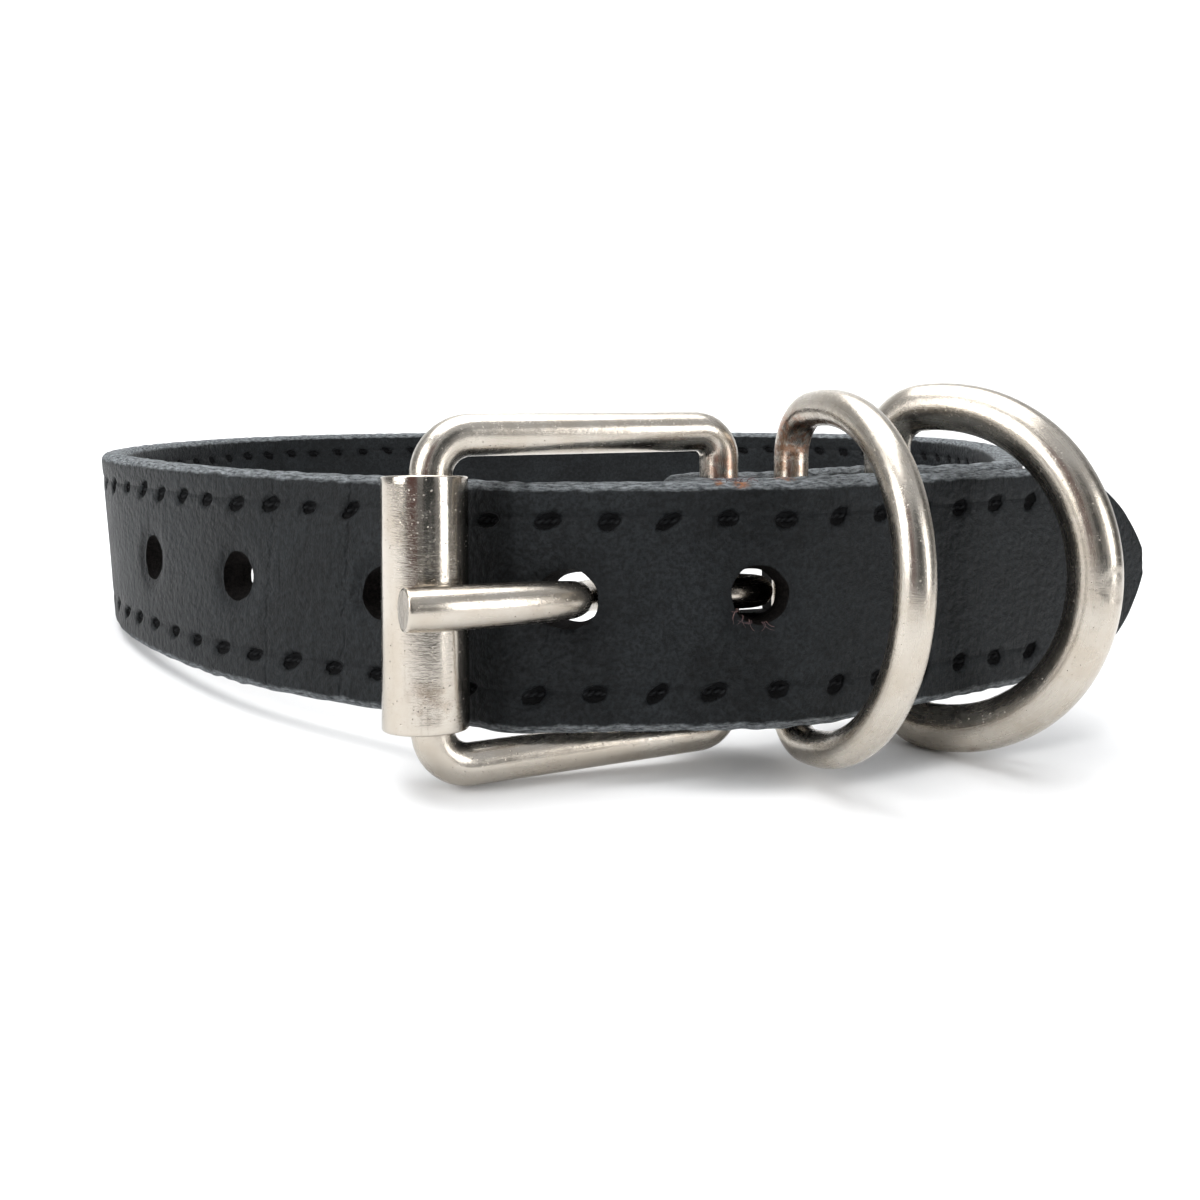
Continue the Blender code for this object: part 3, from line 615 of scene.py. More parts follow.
def nickel(name, roughness, stains=(), dents=(), streak=0.5, pitting=0.5):
    """Worn nickel plate: satin lines along the wire, small pits, cloudy tarnish and rust freckles."""
    f = Finish(name)
    place = f.place()
    run = f.run()
    cloud = f.noise(place, 0.22, 4.0, 0.6)
    haze = f.noise(place, 0.9, 4.0, 0.65)
    lines = f.noise(f.stretch(run, (0.10, 2.6, 1.0)), 1.0, 5.0, 0.65)
    scratches = f.noise(f.stretch(place, (0.5, 0.5, 3.5)), 1.6, 3.0, 0.7)
    chosen = f.node("ShaderNodeSeparateColor", {}, {0: f.cells(place, 1.9, output="Color")})
    large = (1 - f.cells(place, 1.9).rise(0.06, 0.20)) * chosen.rise(0.62, 0.70)
    tiny = (1 - f.cells(place, 4.6).rise(0.04, 0.22)) * haze.rise(0.50, 0.62)
    pits = large.most(tiny * 0.7) * pitting

    tarnished = tuple(part * share for part, share in zip(WARM_NICKEL, (0.90, 0.875, 0.84)))
    colour = f.blend(cloud.rise(0.35, 0.7), WARM_NICKEL, tarnished)
    colour = f.blend(pits * 0.75, colour, shade(WARM_NICKEL, 0.28))
    colour = f.blend(lines.rise(0.58, 0.80) * 0.22, colour, shade(WARM_NICKEL, 0.55))
    for centre, inner, outer, stain, strength in stains:
        spot = f.near(place, centre, inner, outer) * haze.rise(0.40, 0.60) * strength
        colour = f.blend(spot, colour, stain)
    relief = lines * (0.35 * streak) + scratches * 0.10 + haze * 0.25 - pits * 0.9
    for centre, inner, outer, depth in dents:
        relief = relief - f.near(place, centre, inner, outer) * depth
    rough = roughness + (haze - 0.5) * 0.16 + lines.rise(0.45, 0.8) * 0.10 + pits * 0.25
    return f.surface(Base_Color=colour, Metallic=1.0, Roughness=rough,
                     Normal=f.bump(relief, 0.35, 0.22 * MM))


def ripple(s, a, seed, wave, size):
    """Slow unevenness over length s and width a."""
    rng = np.random.default_rng(seed)
    total = np.zeros(np.broadcast(s, a).shape)
    waves = 7
    for _ in range(waves):
        length = wave * rng.uniform(0.6, 1.8)
        across = rng.uniform(-1.0, 1.0) * 2 * np.pi / (wave * 1.2)
        total = total + np.sin(2 * np.pi * s / length + across * a + rng.uniform(0, 6.28))
    return total * size / waves ** 0.5


def tip_half_width(rest):
    """Half width of the strap at a distance before its pointed end, never less than the solid's."""
    half = STRAP_WIDTH / 2
    nose = TIP_NOSE_RADIUS
    table = []
    for step in range(13):
        angle = math.radians(TIP_NOSE_ANGLE * step / 12)
        table.append((nose - nose * math.cos(angle), nose * math.sin(angle)))
    along0, out0 = table[-1]
    slope = math.tan(math.radians(90.0 - TIP_NOSE_ANGLE))
    for step in range(1, 17):
        share = step / 16
        along = along0 + (TIP_LENGTH - along0) * share
        linear = out0 + slope * (along - along0)
        table.append((along, min(half, linear + (half - linear) * (share * (2 - share)) ** 0.9)))
    flank = np.interp(rest, *np.array(table).T)
    full = half * (1 - (1 - np.clip(rest / TIP_LENGTH, 0.0, 1.0)) ** 2.6) ** 0.75
    return np.minimum(np.maximum(full, flank), half)


def stitch_places():
    """Awl marks as rows of length along, place across."""
    rows = []
    for side, known in ((1, UPPER_STITCH), (-1, LOWER_STITCH)):
        start = known - math.floor((known - SEWING_START) / STITCH_PITCH) * STITCH_PITCH
        count = int((LENGTHS[-1] - SEWING_END - start) / STITCH_PITCH)
        spots = start + STITCH_PITCH * np.arange(count + 1)
        spots = spots + SEED.normal(0.0, 0.13 * MM, len(spots))
        across = side * STITCH_ROW + SEED.normal(0.0, 0.10 * MM, len(spots))
        rows.append(np.column_stack((spots, across)))
    return rows


def strap_stations():
    """Places along the strap where its section is set, close together at the tip."""
    total = LENGTHS[-1]
    places = [0.0]
    while places[-1] < total - 6.0 * MM:
        on_back = np.interp(places[-1], LENGTHS, LINE[:, 1]) > 45 * MM
        places.append(places[-1] + (0.85 * MM if on_back else 0.5 * MM))
    rest = total - places[-1]
    for share in np.sin(np.linspace(0.0, np.pi / 2, 22))[1:]:
        places.append(total - rest * (1 - share))
    return np.array(places)


def strap_frames(s):
    """Centre, direction through the leather and direction across it, at each place along."""
    x, y, lean = (np.interp(s, LENGTHS, LINE[:, part]) for part in range(3))
    kernel = np.array([1, 2, 3, 2, 1], float) / 9
    ahead = [np.gradient(x, s), np.gradient(y, s)]
    for _ in range(3):
        ahead = [np.convolve(np.pad(part, 2, "edge"), kernel, "valid") for part in ahead]
    ahead = np.array(ahead) / np.hypot(*ahead)
    flat = np.zeros(len(s))
    along = np.column_stack((ahead[0], ahead[1], flat))
    inside = np.column_stack((-ahead[1], ahead[0], flat))
    tilt = np.radians(lean)[:, None]
    across = np.array([[0.0, 0.0, 1.0]]) * np.cos(tilt) + inside * np.sin(tilt)
    return np.column_stack((x, y, flat)), np.cross(across, along), across


def strap_section():
    """Section points: place across, share of the half thickness, coordinate across, share of face."""
    half_w = STRAP_WIDTH / 2
    flat_half = half_w - STRAP_EDGE_ROUND
    sink = min(STRAP_EDGE_ROUND, 0.9 * STRAP_THICKNESS / 2) / (STRAP_THICKNESS / 2)
    by_row = STITCH_ROW + np.array([-1.7, -1.25, -0.85, -0.42, 0.0, 0.42, 0.85, 1.25, 1.7]) * MM
    outer = np.concatenate((by_row, [half_w - 1.7 * MM, flat_half]))
    plain = np.linspace(-5.4 * MM, 5.4 * MM, 14)
    front = np.concatenate((-outer[::-1], [-6.4 * MM], plain, [6.4 * MM], outer))
    back = np.concatenate((-outer[::-1], np.linspace(-5.0 * MM, 5.0 * MM, 5), outer))
    turns = [math.radians(90.0 * k / 4) for k in range(1, 4)]

    def rounded(side, face, angles):
        return [(side * (flat_half + STRAP_EDGE_ROUND * math.sin(t)), face * (1 - sink * (1 - math.cos(t))),
                 side * (flat_half + STRAP_EDGE_ROUND * t), 0.4) for t in angles]

    def cut_edge(side):
        return [(side * half_w, 0.0, side * (half_w + 0.6 * MM), 0.0)]

    section = [(a, -1.0, a, 1.0) for a in front]
    section += rounded(1, -1, turns) + cut_edge(1) + rounded(1, 1, turns[::-1])
    section += [(a, 1.0, a, 1.0) for a in back[::-1]]
    section += rounded(-1, 1, turns) + cut_edge(-1) + rounded(-1, -1, turns[::-1])
    return np.array(section)


def sewing_marks(s, a, on_face, rows):
    """Shares of awl mark for the paint of the pits' painted shade, and of hollow and groove for the shape;
    the groove also sets painted shade along the rows.
    """
    awl = np.zeros(np.broadcast(s[:, None], a).shape)
    pressed = np.zeros_like(awl)
    groove = np.zeros_like(awl)
    for spots in rows:
        for place, off in spots:
            near = np.abs(s - place) < 3.2 * MM
            half_length = AWL_HALF_LENGTH * SEED.uniform(0.85, 1.15)
            half_width = AWL_HALF_WIDTH * SEED.uniform(0.85, 1.15)
            slant = AWL_SLANT + SEED.uniform(-0.25, 0.25)
            du = s[near][:, None] - place
            dv = a - off - slant * du
            far = np.sqrt((du / half_length) ** 2 + (dv / half_width) ** 2)
            cup = np.clip((1.3 - far) / 0.8, 0.0, 1.0)
            awl[near] = np.maximum(awl[near], np.clip(1.5 - far, 0.0, 1.0) * on_face)
            pressed[near] = np.maximum(pressed[near], cup * cup * (3 - 2 * cup) * on_face)
        side = math.copysign(1.0, spots[0, 1])
        sewn = ((s > spots[0, 0]) & (s < spots[-1, 0]))[:, None]
        beside = (a - side * STITCH_ROW - 0.42 * MM) / (0.34 * MM)
        groove = np.maximum(groove, np.exp(-beside ** 2) * sewn * on_face)
    return awl, pressed, groove


def make_strap(leather, wall, rows):
    """The strap with its pressed sewing, soft hole rims, uneven faces and thinned ends."""
    s = strap_stations()
    centre, through, across = strap_frames(s)
    section = strap_section()
    a, d, face = (section[None, :, part] for part in (0, 1, 3))
    on_face = face > 0.5
    total = LENGTHS[-1]
    narrow = (tip_half_width(total - s) / (STRAP_WIDTH / 2))[:, None]
    end = np.clip(np.minimum(s, total - s) / (0.7 * MM), 0.0, 1.0)[:, None]
    thin = 0.55 + 0.45 * np.sqrt(1 - (1 - end) ** 2)

    awl, pressed, groove = sewing_marks(s, a, on_face, rows)
    rims = np.zeros_like(awl)
    for place, rise, _ in hole_places():
        beyond = np.clip(np.hypot(s[:, None] - place, a - rise) - HOLE_DIAMETER / 2, 0, None)
        rims = np.maximum(rims, np.exp(-(beyond / (0.9 * MM)) ** 2) * on_face)
    sink = pressed * AWL_DEPTH + groove * GROOVE_DEPTH + rims * RIM_DEPTH * (np.abs(a) < 6 * MM)
    uneven = ripple(s[:, None], a, 3, 26 * MM, 0.055 * MM) * face
    uneven = uneven + ripple(s[:, None], a, 5, 7 * MM, 0.018 * MM)
    bow = uneven * np.where(np.abs(d) > 0.5, np.sign(d), 0.0) * 0.6
    depth = STRAP_THICKNESS / 2 * d * thin - np.sign(d) * sink + bow
    frayed = ripple(s[:, None], d * 0.003, 11, 4 * MM, 0.06 * MM) * np.sign(a) * ~on_face
    wide = a * narrow + frayed
    points = (centre[:, None, :] + through[:, None, :] * depth[:, :, None]
              + across[:, None, :] * wide[:, :, None]).reshape(-1, 3)

    n, m = len(s), len(section)
    faces = tube_faces(n, m) + [tuple(range(m)), tuple(range((n - 1) * m, n * m))[::-1]]
    uv = np.column_stack((np.repeat(s / MM, m), np.tile(section[:, 2] / MM, n)))
    strap = add_piece("leather_strap", stood(points), faces, uv, leather, "collar", "leather", "strap")
    strap.data.materials.append(wall)
    # awl and drawn mask the painted shade of the pits and of the pressed grooves and hole rims, and their
    # dents in the bump
    for key, values in (("awl", awl), ("drawn", np.maximum(groove, rims))):
        layer = strap.data.attributes.new(key, "FLOAT", "POINT")
        layer.data.foreach_set("value", values.ravel().astype(np.float32))
    punch(strap, wall)


def stood(points):
    """Points of the design turned and moved to where the collar rests."""
    stand = np.array(STAND)
    return points @ stand[:3, :3].T + stand[:3, 3]


def frame_on(place):
    """Frame on the strap's middle: along, through, across."""
    index = int(np.argmin(np.abs(LENGTHS - place)))
    before = LINE[max(index - 1, 0)]
    after = LINE[min(index + 1, len(LINE) - 1)]
    along = Vector((after[0] - before[0], after[1] - before[1], 0.0)).normalized()
    return STAND @ place_frame(Vector((LINE[index][0], LINE[index][1], 0.0)), along, LINE[index][2])


def hole_places():
    """Length along, rise and slant of each hole: the tongue's, the free one, then those on the loop."""
    hole = np.array(beside_fold(-TONGUE_HOLE_REACH, STRAP_THICKNESS + GAP + STRAP_THICKNESS / 2))
    far = np.linalg.norm(LINE[FOLD_END:, :2] - hole, axis=1)
    at = LENGTHS[FOLD_END + int(np.argmin(far))]
    rise = lean_point(Vector(hole), heel_frame()).z
    holes = [(at, rise, TONGUE_HOLE_SLANT), (at + FREE_HOLE_PITCH, FREE_HOLE_RISE, 0.0)]
    return holes + [(at - HOLE_PITCH * (k + 1), 0.0, 0.0) for k in range(HOLES_ON_LOOP)]


def punch(strap, wall):
    """Cut the round holes and the tongue's slot through the leather."""
    work = bmesh.new()
    holes = hole_places()
    for place, rise, slant in holes:
        matrix = frame_on(place) @ Matrix.Translation((0.0, 0.0, rise))
        matrix = matrix @ Matrix.Rotation(math.radians(-slant), 4, "Z")
        low = -STRAP_THICKNESS / 2 - 2.0 * MM
        high = STRAP_THICKNESS / 2 + GAP / 2 + HOLE_DIAMETER * math.sin(math.radians(slant))
        shut = HOLE_SHUT_USED if place > holes[0][0] - 1.0 * MM else HOLE_SHUT_UNUSED
        rings = []
        for depth in np.linspace(low, high, 5):
            close = 1.0 - shut * smooth((depth + STRAP_THICKNESS / 2) / STRAP_THICKNESS)
            ring = []
            for k in range(HOLE_SIDES):
                angle = 2 * math.pi * k / HOLE_SIDES
                rag = 0.018 * math.sin(3 * angle + place * 900) + 0.014 * math.sin(7 * angle + place * 400)
                radius = HOLE_DIAMETER / 2 * (1.0 + rag) * close
                spot = Vector((radius * math.cos(angle), depth, radius * math.sin(angle)))
                ring.append(work.verts.new(matrix @ spot))
            rings.append(ring)
        wrap(work, rings)
    base = heel_frame()
    start = -FRAME_WIRE / 2 - GAP - STRAP_THICKNESS - 2.0 * MM
    end = FRAME_WIRE / 2 + GAP + TONGUE_LOOP_WIRE + GAP
    outline = [beside_fold(start + (end - start) * k / 8, STRAP_THICKNESS + GAP / 2) for k in range(9)]
    straight = Vector((base.col[0].x, base.col[0].y))
    away = Vector((-straight.y, straight.x)) * (FRAME_WIRE + 2 * GAP + STRAP_THICKNESS + 2.0 * MM)
    outline += [straight * end + away, straight * start + away]
    low = base.col[2].to_3d() * (-TONGUE_SLOT_HEIGHT / 2)
    wrap(work, [[work.verts.new(STAND @ (lean_point(place, base) + edge)) for place in outline]
                for edge in (low, -low)])
    bmesh.ops.recalc_face_normals(work, faces=work.faces)
    mesh = bpy.data.meshes.new("punches")
    work.to_mesh(mesh)
    work.free()
    mesh.materials.append(wall)
    punches = bpy.data.objects.new("punches", mesh)
    bpy.context.scene.collection.objects.link(punches)
    cut = strap.modifiers.new("punched", "BOOLEAN")
    cut.operation = "DIFFERENCE"
    cut.solver = "EXACT"
    cut.material_mode = "TRANSFER"
    cut.object = punches
    bpy.context.view_layer.update()
    made = bpy.data.meshes.new_from_object(strap.evaluated_get(bpy.context.evaluated_depsgraph_get()))
    strap.modifiers.clear()
    strap.data = made
    bpy.data.objects.remove(punches, do_unlink=True)


def wrap(work, rings):
    """Walls between rings of points, closed at both ends."""
    for lower, upper in zip(rings, rings[1:]):
        for k in range(len(lower)):
            j = (k + 1) % len(lower)
            work.faces.new((lower[k], lower[j], upper[j], upper[k]))
    work.faces.new(rings[0])
    work.faces.new(rings[-1][::-1])


def sew(thread, rows):
    """Thread drawn down between the awl marks on both faces of the strap."""
    verts, faces, uv = [], [], []
    s = strap_stations()
    frames = strap_frames(s)
    for spots in rows:
        for (place0, off0), (place1, off1) in zip(spots, spots[1:]):
            for face in (-1.0, 1.0):
                faces += tube_faces(THREAD_STEPS, THREAD_SIDES, first=len(verts))
                for k in range(THREAD_STEPS):
                    share = k / (THREAD_STEPS - 1)
                    place = place0 + (place1 - place0) * share
                    off = off0 + (off1 - off0) * share
                    lift = THREAD_SUNK + THREAD_DIP * abs(2 * share - 1) ** 5
                    centre, through, across = (
                        np.array([np.interp(place, s, part[:, j]) for j in range(3)]) for part in frames)
                    mid = centre + through * face * (STRAP_THICKNESS / 2 - lift) + across * off
                    for q in range(THREAD_SIDES):
                        angle = 2 * math.pi * q / THREAD_SIDES
                        out = through * math.cos(angle) + across * math.sin(angle)
                        verts.append(mid + out * THREAD_RADIUS)
                        uv.append((place / MM, angle))
    add_piece("stitch_thread", stood(np.array(verts)), faces, uv, thread, "collar", "leather")


def fray(material):
    """Fine loose fibres under the free hole and over the rubbed spots of the top edge."""
    free, rise, _ = hole_places()[1]
    skin = -STRAP_THICKNESS / 2
    strands = []
    for angle in np.radians(SEED.uniform(205.0, 282.0, 13)):
        out = SEED.uniform(0.45, 1.35) * MM
        sway = SEED.normal(0.0, 0.45, 3)
        path = []
        for share in np.linspace(0.0, 1.0, 6):
            reach = HOLE_DIAMETER / 2 - 0.30 * MM + out * share
            turn = angle + sway[0] * share * share * 0.5
            lift = skin - (0.05 + 0.22 * math.sin(math.pi * share) * abs(sway[1])) * MM
            if share == 0.0:
                lift = skin + 0.45 * MM
            path.append((reach * math.cos(turn), lift, reach * math.sin(turn) + rise))
        strands.append((free, path))
    for spot in RUBBED_SPOTS:
        for _ in range(5):
            start = np.array((SEED.normal(0.0, 0.4), SEED.uniform(-1.4, 0.2), STRAP_WIDTH / 2 / MM - 0.12))
            sway = SEED.normal(0.0, 0.8, 2)
            tall = SEED.uniform(0.35, 0.95)
            path = []
            for q in np.linspace(0.0, 1.0, 5):
                path.append((start + np.array((*(sway * q * q), tall * (q - 0.35 * q * q)))) * MM)
            strands.append((spot * MM, path))
    verts, faces, uv = [], [], []
    for place, path in strands:
        matrix = frame_on(place)
        faces += tube_faces(len(path), FIBRE_SIDES, first=len(verts))
        for k, point in enumerate(path):
            radius = FIBRE_RADIUS * (1 - 0.7 * k / (len(path) - 1))
            for q in range(FIBRE_SIDES):
                angle = 2 * math.pi * q / FIBRE_SIDES
                side = Vector((math.cos(angle), 0.6 * math.sin(angle + 0.8), math.sin(angle)))
                verts.append(matrix @ (Vector(point) + side * radius))
                uv.append((k, q))
    add_piece("loose_fibres", verts, faces, uv, material, "collar", "leather")


def make_wire(name, path, wires, closed, *finish):
    """Round wire along a path of points, with its own length and turn as coordinates."""
    path = np.array(path)
    n = len(path)
    tangent = np.roll(path, -1, 0) - np.roll(path, 1, 0) if closed else np.gradient(path, axis=0)
    tangent /= np.linalg.norm(tangent, axis=1)[:, None]
    side = np.zeros_like(path)
    first = np.cross(tangent[0], [0.3, 0.5, 0.8])
    side[0] = first / np.linalg.norm(first)
    for k in range(1, n):
        bent = side[k - 1] - tangent[k] * (side[k - 1] @ tangent[k])
        side[k] = bent / np.linalg.norm(bent)
    other = np.cross(tangent, side)
    if closed:
        last = side[-1] - tangent[0] * (side[-1] @ tangent[0])
        twist = math.atan2(last @ other[0], last @ side[0])
        turn = (-twist * np.arange(n) / n)[:, None]
        side, other = side * np.cos(turn) + other * np.sin(turn), other * np.cos(turn) - side * np.sin(turn)
    length = run_lengths(path)
    verts, uv = [], []
    for k in range(n):
        for q in range(WIRE_SIDES):
            angle = 2 * math.pi * q / WIRE_SIDES
            verts.append(path[k] + (side[k] * math.cos(angle) + other[k] * math.sin(angle)) * (wires[k] / 2))
            uv.append((length[k] / MM, abs(angle - math.pi) * 2.0))
    faces = tube_faces(n, WIRE_SIDES, closed)
    if not closed:
        faces += [tuple(range(WIRE_SIDES))[::-1], tuple(range((n - 1) * WIRE_SIDES, n * WIRE_SIDES))]
    piece = add_piece(name, verts, faces, uv, *finish)
    for polygon in piece.data.polygons:
        if len(polygon.vertices) > 4:
            polygon.use_smooth = False


def even_out(outline):
    """Points at even spacing round a closed outline."""
    pts = np.array([*outline, outline[0]])
    run = run_lengths(pts)
    at = np.linspace(0.0, run[-1], int(run[-1] / WIRE_STEP), endpoint=False)
    return np.column_stack([np.interp(at, run, pts[:, part]) for part in range(2)])


def make_frame(material):
    """The buckle's rectangle of bent wire."""
    half = FRAME_WINDOW / 2 + FRAME_WIRE / 2
    outline = []
    for x, z, start, radius in (
        (0.0, -half, 180.0, FRAME_HEEL_CORNER),
        (FRAME_PITCH, -half, 270.0, FRAME_CORNER),
        (FRAME_PITCH, half, 0.0, FRAME_CORNER),
        (0.0, half, 90.0, FRAME_HEEL_CORNER),
    ):
        cx = x + (radius if x == 0.0 else -radius)
        cz = z + (radius if z < 0 else -radius)
        for step in range(21):
            angle = math.radians(start + 90.0 * step / 20)
            outline.append((cx + radius * math.cos(angle), cz + radius * math.sin(angle)))
    reach = end_bar_place().normalized().to_3d()
    up = heel_frame().col[2].to_3d()
    path = [STAND @ (reach * x + up * (z + FRAME_LIFT)) for x, z in even_out(outline)]
    make_wire("bent_wire_frame", path, [FRAME_WIRE] * len(path), True,
              material, "collar", "frame_metal", "buckle_frame")


def make_roller(material):
    """Rolled tube with softly turned rims."""
    outer = ROLLER_DIAMETER / 2
    inner = outer - ROLLER_WALL
    half = ROLLER_LENGTH / 2
    rim = ROLLER_WALL * 0.42
    turns = np.linspace(0.0, math.pi / 2, 5)
    profile = [(inner + 0.05 * MM, -half + 0.08 * MM), (inner + ROLLER_WALL * 0.3, -half)]
    profile += [(outer - rim + rim * math.sin(t), -half + rim - rim * math.cos(t)) for t in turns]
    profile += [(outer, z) for z in np.linspace(-half + 1.0 * MM, half - 1.0 * MM, 14)]
    profile += [(outer - rim + rim * math.cos(t), half - rim + rim * math.sin(t)) for t in turns]
    profile += [(inner + ROLLER_WALL * 0.3, half), (inner + 0.05 * MM, half - 0.08 * MM)]
    profile += [(inner, z) for z in np.linspace(half - 0.5 * MM, -half + 0.5 * MM, 6)]
    base = heel_frame()
    centre = roller_place().to_3d() + base.col[2].to_3d() * FRAME_LIFT
    matrix = STAND @ Matrix.Translation(centre) @ base.to_3x3().to_4x4()
    verts, uv = [], []
    for radius, z in profile:
        for q in range(ROLLER_SIDES):
            angle = 2 * math.pi * q / ROLLER_SIDES
            verts.append(matrix @ Vector((radius * math.cos(angle), radius * math.sin(angle), z)))
            uv.append((z / MM, abs(angle - math.pi) * 3.0))
    faces = tube_faces(len(profile), ROLLER_SIDES, closed=True)
    add_piece("rolled_tube", verts, faces, uv, material, "roller", "roller_metal", "roller")


def make_tongue(material):
    """Bent wire: a loop round the heel bar, up through the strap's hole, over the roller."""
    radius = FRAME_WIRE / 2 + GAP + TONGUE_LOOP_WIRE / 2
    front = math.degrees(fold_angle(0.0)) - 90.0

    def on_loop(degrees):
        angle = math.radians(front + degrees)
        return radius * math.cos(angle), radius * math.sin(angle), TONGUE_LOOP_WIRE

    loop = [on_loop(TONGUE_LOOP_ANGLE * (1 - step / 48)) for step in range(49)]
    bend = [on_loop(TONGUE_LOOP_ANGLE / 12), loop[-1]]
    hide = STRAP_THICKNESS - GAP - TONGUE_LOOP_WIRE / 2
    for share in (0.45, 0.80, 1.0):
        bend.append((*beside_fold((TONGUE_TURN - TONGUE_HOLE_REACH) * share, hide), TONGUE_LOOP_WIRE))
    hole = beside_fold(GAP - TONGUE_HOLE_REACH, STRAP_THICKNESS + GAP + STRAP_THICKNESS / 2)
    slant = math.radians(TONGUE_HOLE_SLANT) - fold_angle(-TONGUE_HOLE_REACH)
    axis = Vector((-math.sin(slant), -math.cos(slant)))
    middle = (TONGUE_LOOP_WIRE + TONGUE_WIRE) / 2
    for side, wire in ((-0.5, TONGUE_LOOP_WIRE), (0.0, TONGUE_LOOP_WIRE), (0.5, middle)):
        bend.append((*(hole + axis * (STRAP_THICKNESS * side)), wire))
    reach = ROLLER_DIAMETER / 2 + GAP + TONGUE_WIRE / 2
    angle = math.radians(TONGUE_END_ANGLE + 3.0)
    touch = roller_place() + Vector((math.sin(angle), -math.cos(angle))) * reach
    angle = math.radians(TONGUE_END_ANGLE)
    end = touch - Vector((math.cos(angle), math.sin(angle))) * TONGUE_OVERHANG
    bend += [(*touch, TONGUE_WIRE), (*end, TONGUE_WIRE * 0.97)]
    curve = catmull(bend, 0.3 * MM)
    start = min(range(len(curve)), key=lambda i: np.linalg.norm(curve[i][:2] - np.array(loop[-1][:2])))
    line = [np.array(p) for p in loop] + list(curve[start + 1:])

    tail = line.pop()
    ahead = (tail - line[-1])[:2]
    ahead /= np.linalg.norm(ahead)
    for back, thinner in ((0.22, 0.0), (0.05, 0.16), (0.0, 0.55)):
        line.append(np.array((*(tail[:2] - ahead * back * MM), tail[2] - thinner * MM)))
    base = heel_frame()
    path = [STAND @ lean_point(Vector(p[:2]), base) for p in line]
    make_wire("buckle_tongue", path, [p[2] for p in line], False,
              material, "collar", "tongue_metal", "tongue")


def make_ring(name, size, *finish):
    """A D ring of bent wire, its straight bar in the fold and its bow swung forward."""
    wire, corner, reach = (size[key] * MM for key in ("wire", "corner", "reach"))
    half = (size["opening"] * MM + wire) / 2
    turns = [math.radians(180.0 - 90.0 * step / 16) for step in range(17)]
    upper = [(corner + corner * math.cos(t), half - corner + corner * math.sin(t)) for t in turns]
    turns = [math.radians(90.0 - 180.0 * step / 80) for step in range(1, 80)]
    bow = [(corner + (reach - corner) * math.cos(t) ** 0.92, half * math.sin(t)) for t in turns]
    outline = upper + bow + [(x, -z) for x, z in upper[::-1]]
    point, normal = fold_line(size["station"] * MM)
    angle = fold_angle(size["station"] * MM)
    bar = (point - normal * (GAP + wire / 2)).to_3d()
    base = place_frame(bar, Vector((math.cos(angle), math.sin(angle), 0.0)), FRONT_LEAN)
    matrix = STAND @ base @ Matrix.Translation((0.0, 0.0, size["lift"] * MM))
    matrix = matrix @ Matrix.Rotation(math.radians(size["droop"]), 4, "Y")
    matrix = matrix @ Matrix.Rotation(math.radians(-size["swing"]) - angle, 4, "Z")
    path = [matrix @ Vector((x, 0.0, z)) for x, z in even_out(outline)]
    make_wire(name, path, [wire] * len(path), True, *finish)


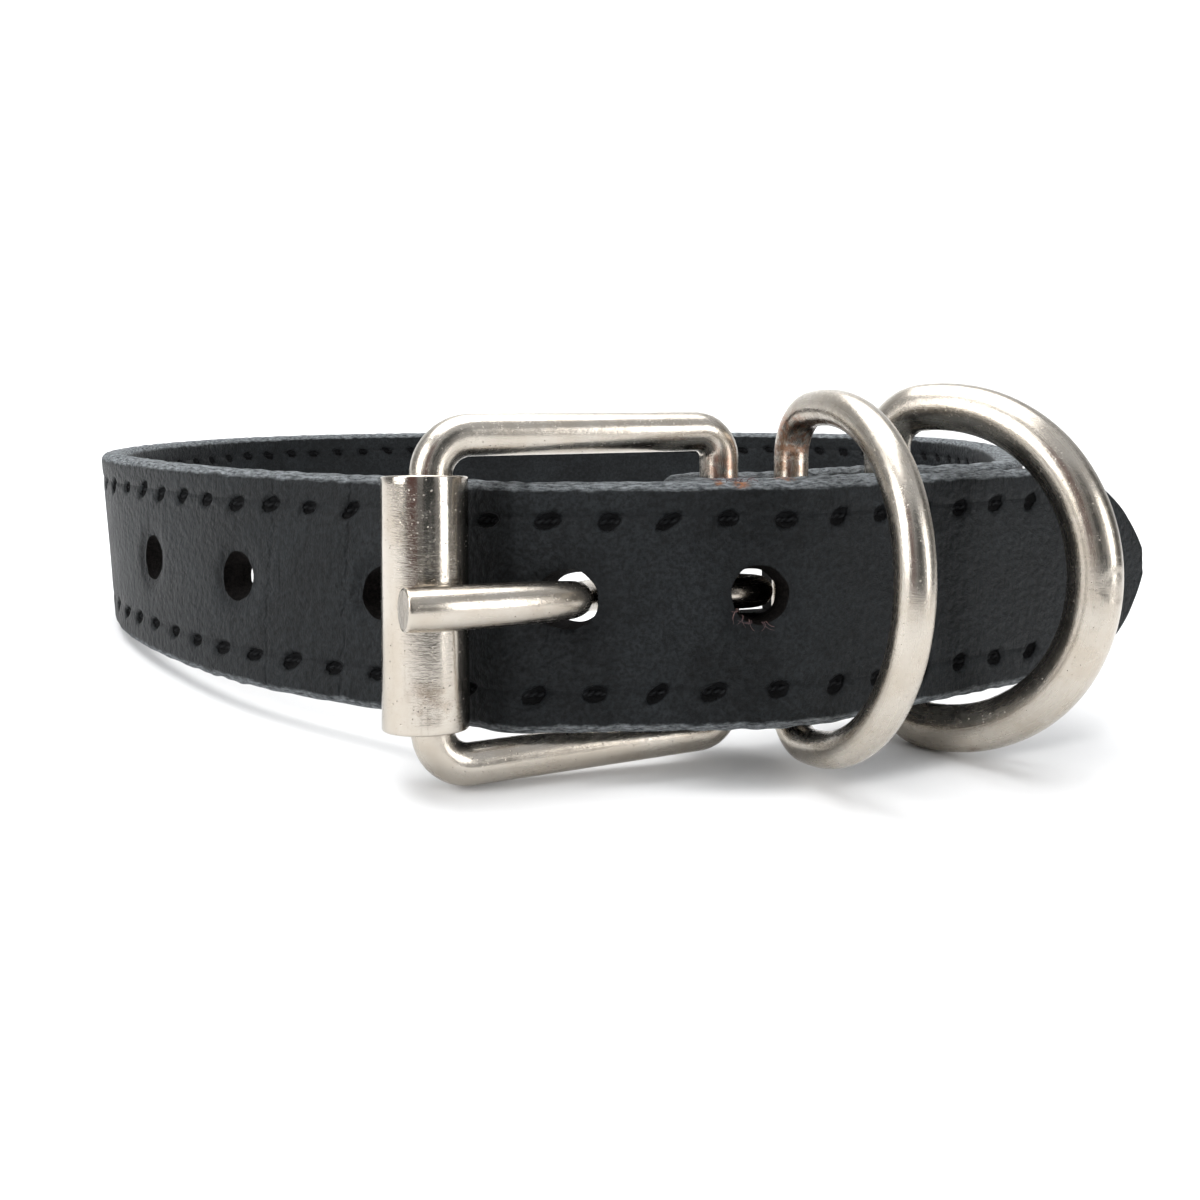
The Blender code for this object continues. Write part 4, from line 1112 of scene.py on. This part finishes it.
def studio():
    """Pale seamless paper, soft lights, and dark cards for the metal to mirror."""
    f = Finish("pale_paper")
    paper = f.surface(Base_Color=(*PAPER_WHITE, 1.0), Roughness=0.9, Specular_IOR_Level=0.1)
    bend = 0.45
    profile = [(-1.6, 0.0), (0.35, 0.0)]
    for t in np.linspace(0.1, math.pi / 2, 16):
        profile.append((0.35 + bend * math.sin(t), bend - bend * math.cos(t)))
    profile.append((0.80, 1.6))
    verts = [(x, y, z - 0.02 * MM) for y, z in profile for x in (-1.8, 1.8)]
    faces = [(2 * k, 2 * k + 1, 2 * k + 3, 2 * k + 2) for k in range(len(profile) - 1)]
    floor = add_mesh("seamless_paper", verts, faces, paper)
    for name, colour, spot, (width, height) in DARK_CARDS:
        right = Vector((spot[1], -spot[0], 0.0)).normalized() * (width / 2)
        up = Vector((0.0, 0.0, height / 2))
        corners = [Vector(spot) + right * x + up * z for x, z in ((-1, -1), (1, -1), (1, 1), (-1, 1))]
        black = Finish(name).surface(Base_Color=(*colour, 1.0), Roughness=0.9)
        card = add_mesh(name, corners, [(0, 1, 2, 3)], black)
        card.visible_camera = False
        card.visible_shadow = False
        card.visible_diffuse = False
    for name, spot, aim, size, power in SOFT_LIGHTS:
        lamp = bpy.data.lights.new(name, "AREA")
        lamp.shape = "RECTANGLE"
        lamp.size, lamp.size_y = size
        lamp.energy = power
        item = bpy.data.objects.new(name, lamp)
        bpy.context.scene.collection.objects.link(item)
        item.location = spot
        item.rotation_mode = "QUATERNION"
        item.rotation_quaternion = (Vector(aim) - Vector(spot)).to_track_quat("-Z", "Y")
    world = bpy.data.worlds.new("soft_room")
    bpy.context.scene.world = world
    world.use_nodes = True
    w = Wiring(world.node_tree)
    way = w.node("ShaderNodeTexCoord", {}, {}, "Generated")
    height = w.node("ShaderNodeSeparateXYZ", {}, {0: way}, "Z")
    sky = w.blend(height.ramp(0.10, 0.75, "LINEAR"), ROOM_WALL, ROOM_CEILING)
    w.plug(w.tree.nodes["Background"], {"Color": sky, "Strength": 0.75})
    bpy.context.scene.view_settings.view_transform = "Standard"


def photographer():
    """Camera looking down a little, its picture shifted to its place."""
    lens = bpy.data.cameras.new("camera")
    lens.sensor_width = 36.0
    lens.lens = lens.sensor_width * FOCAL_PIXELS / PICTURE_PIXELS
    level = HORIZON_PIXELS + FOCAL_PIXELS * math.tan(math.radians(CAMERA_DIP)) - PICTURE_PIXELS / 2
    lens.shift_y = level / PICTURE_PIXELS
    lens.clip_start = 0.002
    lens.clip_end = 20.0
    camera = bpy.data.objects.new("camera", lens)
    bpy.context.scene.collection.objects.link(camera)
    look = Matrix.Rotation(math.radians(90.0 - CAMERA_DIP), 4, "X")
    camera.matrix_world = STAND @ Matrix.Translation(CAMERA_PLACE) @ look
    bpy.context.scene.camera = camera


LINE, FOLD_END = strap_line()
LENGTHS = run_lengths(LINE[:, :2])
ROWS = stitch_places()

make_strap(black_leather(), shaded_hole_wall(), ROWS)
sew(waxed_thread(), ROWS)
fray(raw_fibres())
make_frame(nickel("frame_nickel", 0.24, FRAME_STAINS))
make_roller(nickel("roller_nickel", 0.15, ROLLER_STAINS, streak=0.2, pitting=0.8))
make_tongue(nickel("tongue_nickel", 0.23, streak=0.35, pitting=0.35))
make_ring("keeper_d_ring", KEEPER, nickel("keeper_nickel", 0.26, KEEPER_STAINS, streak=0.7),
          "keeper_ring", "keeper_metal", "keeper_ring")
make_ring("leash_d_ring", LEASH, nickel("leash_nickel", 0.25, LEASH_STAINS, LEASH_DENTS, streak=0.6),
          "leash_ring", "leash_metal", "leash_ring")
studio()
photographer()
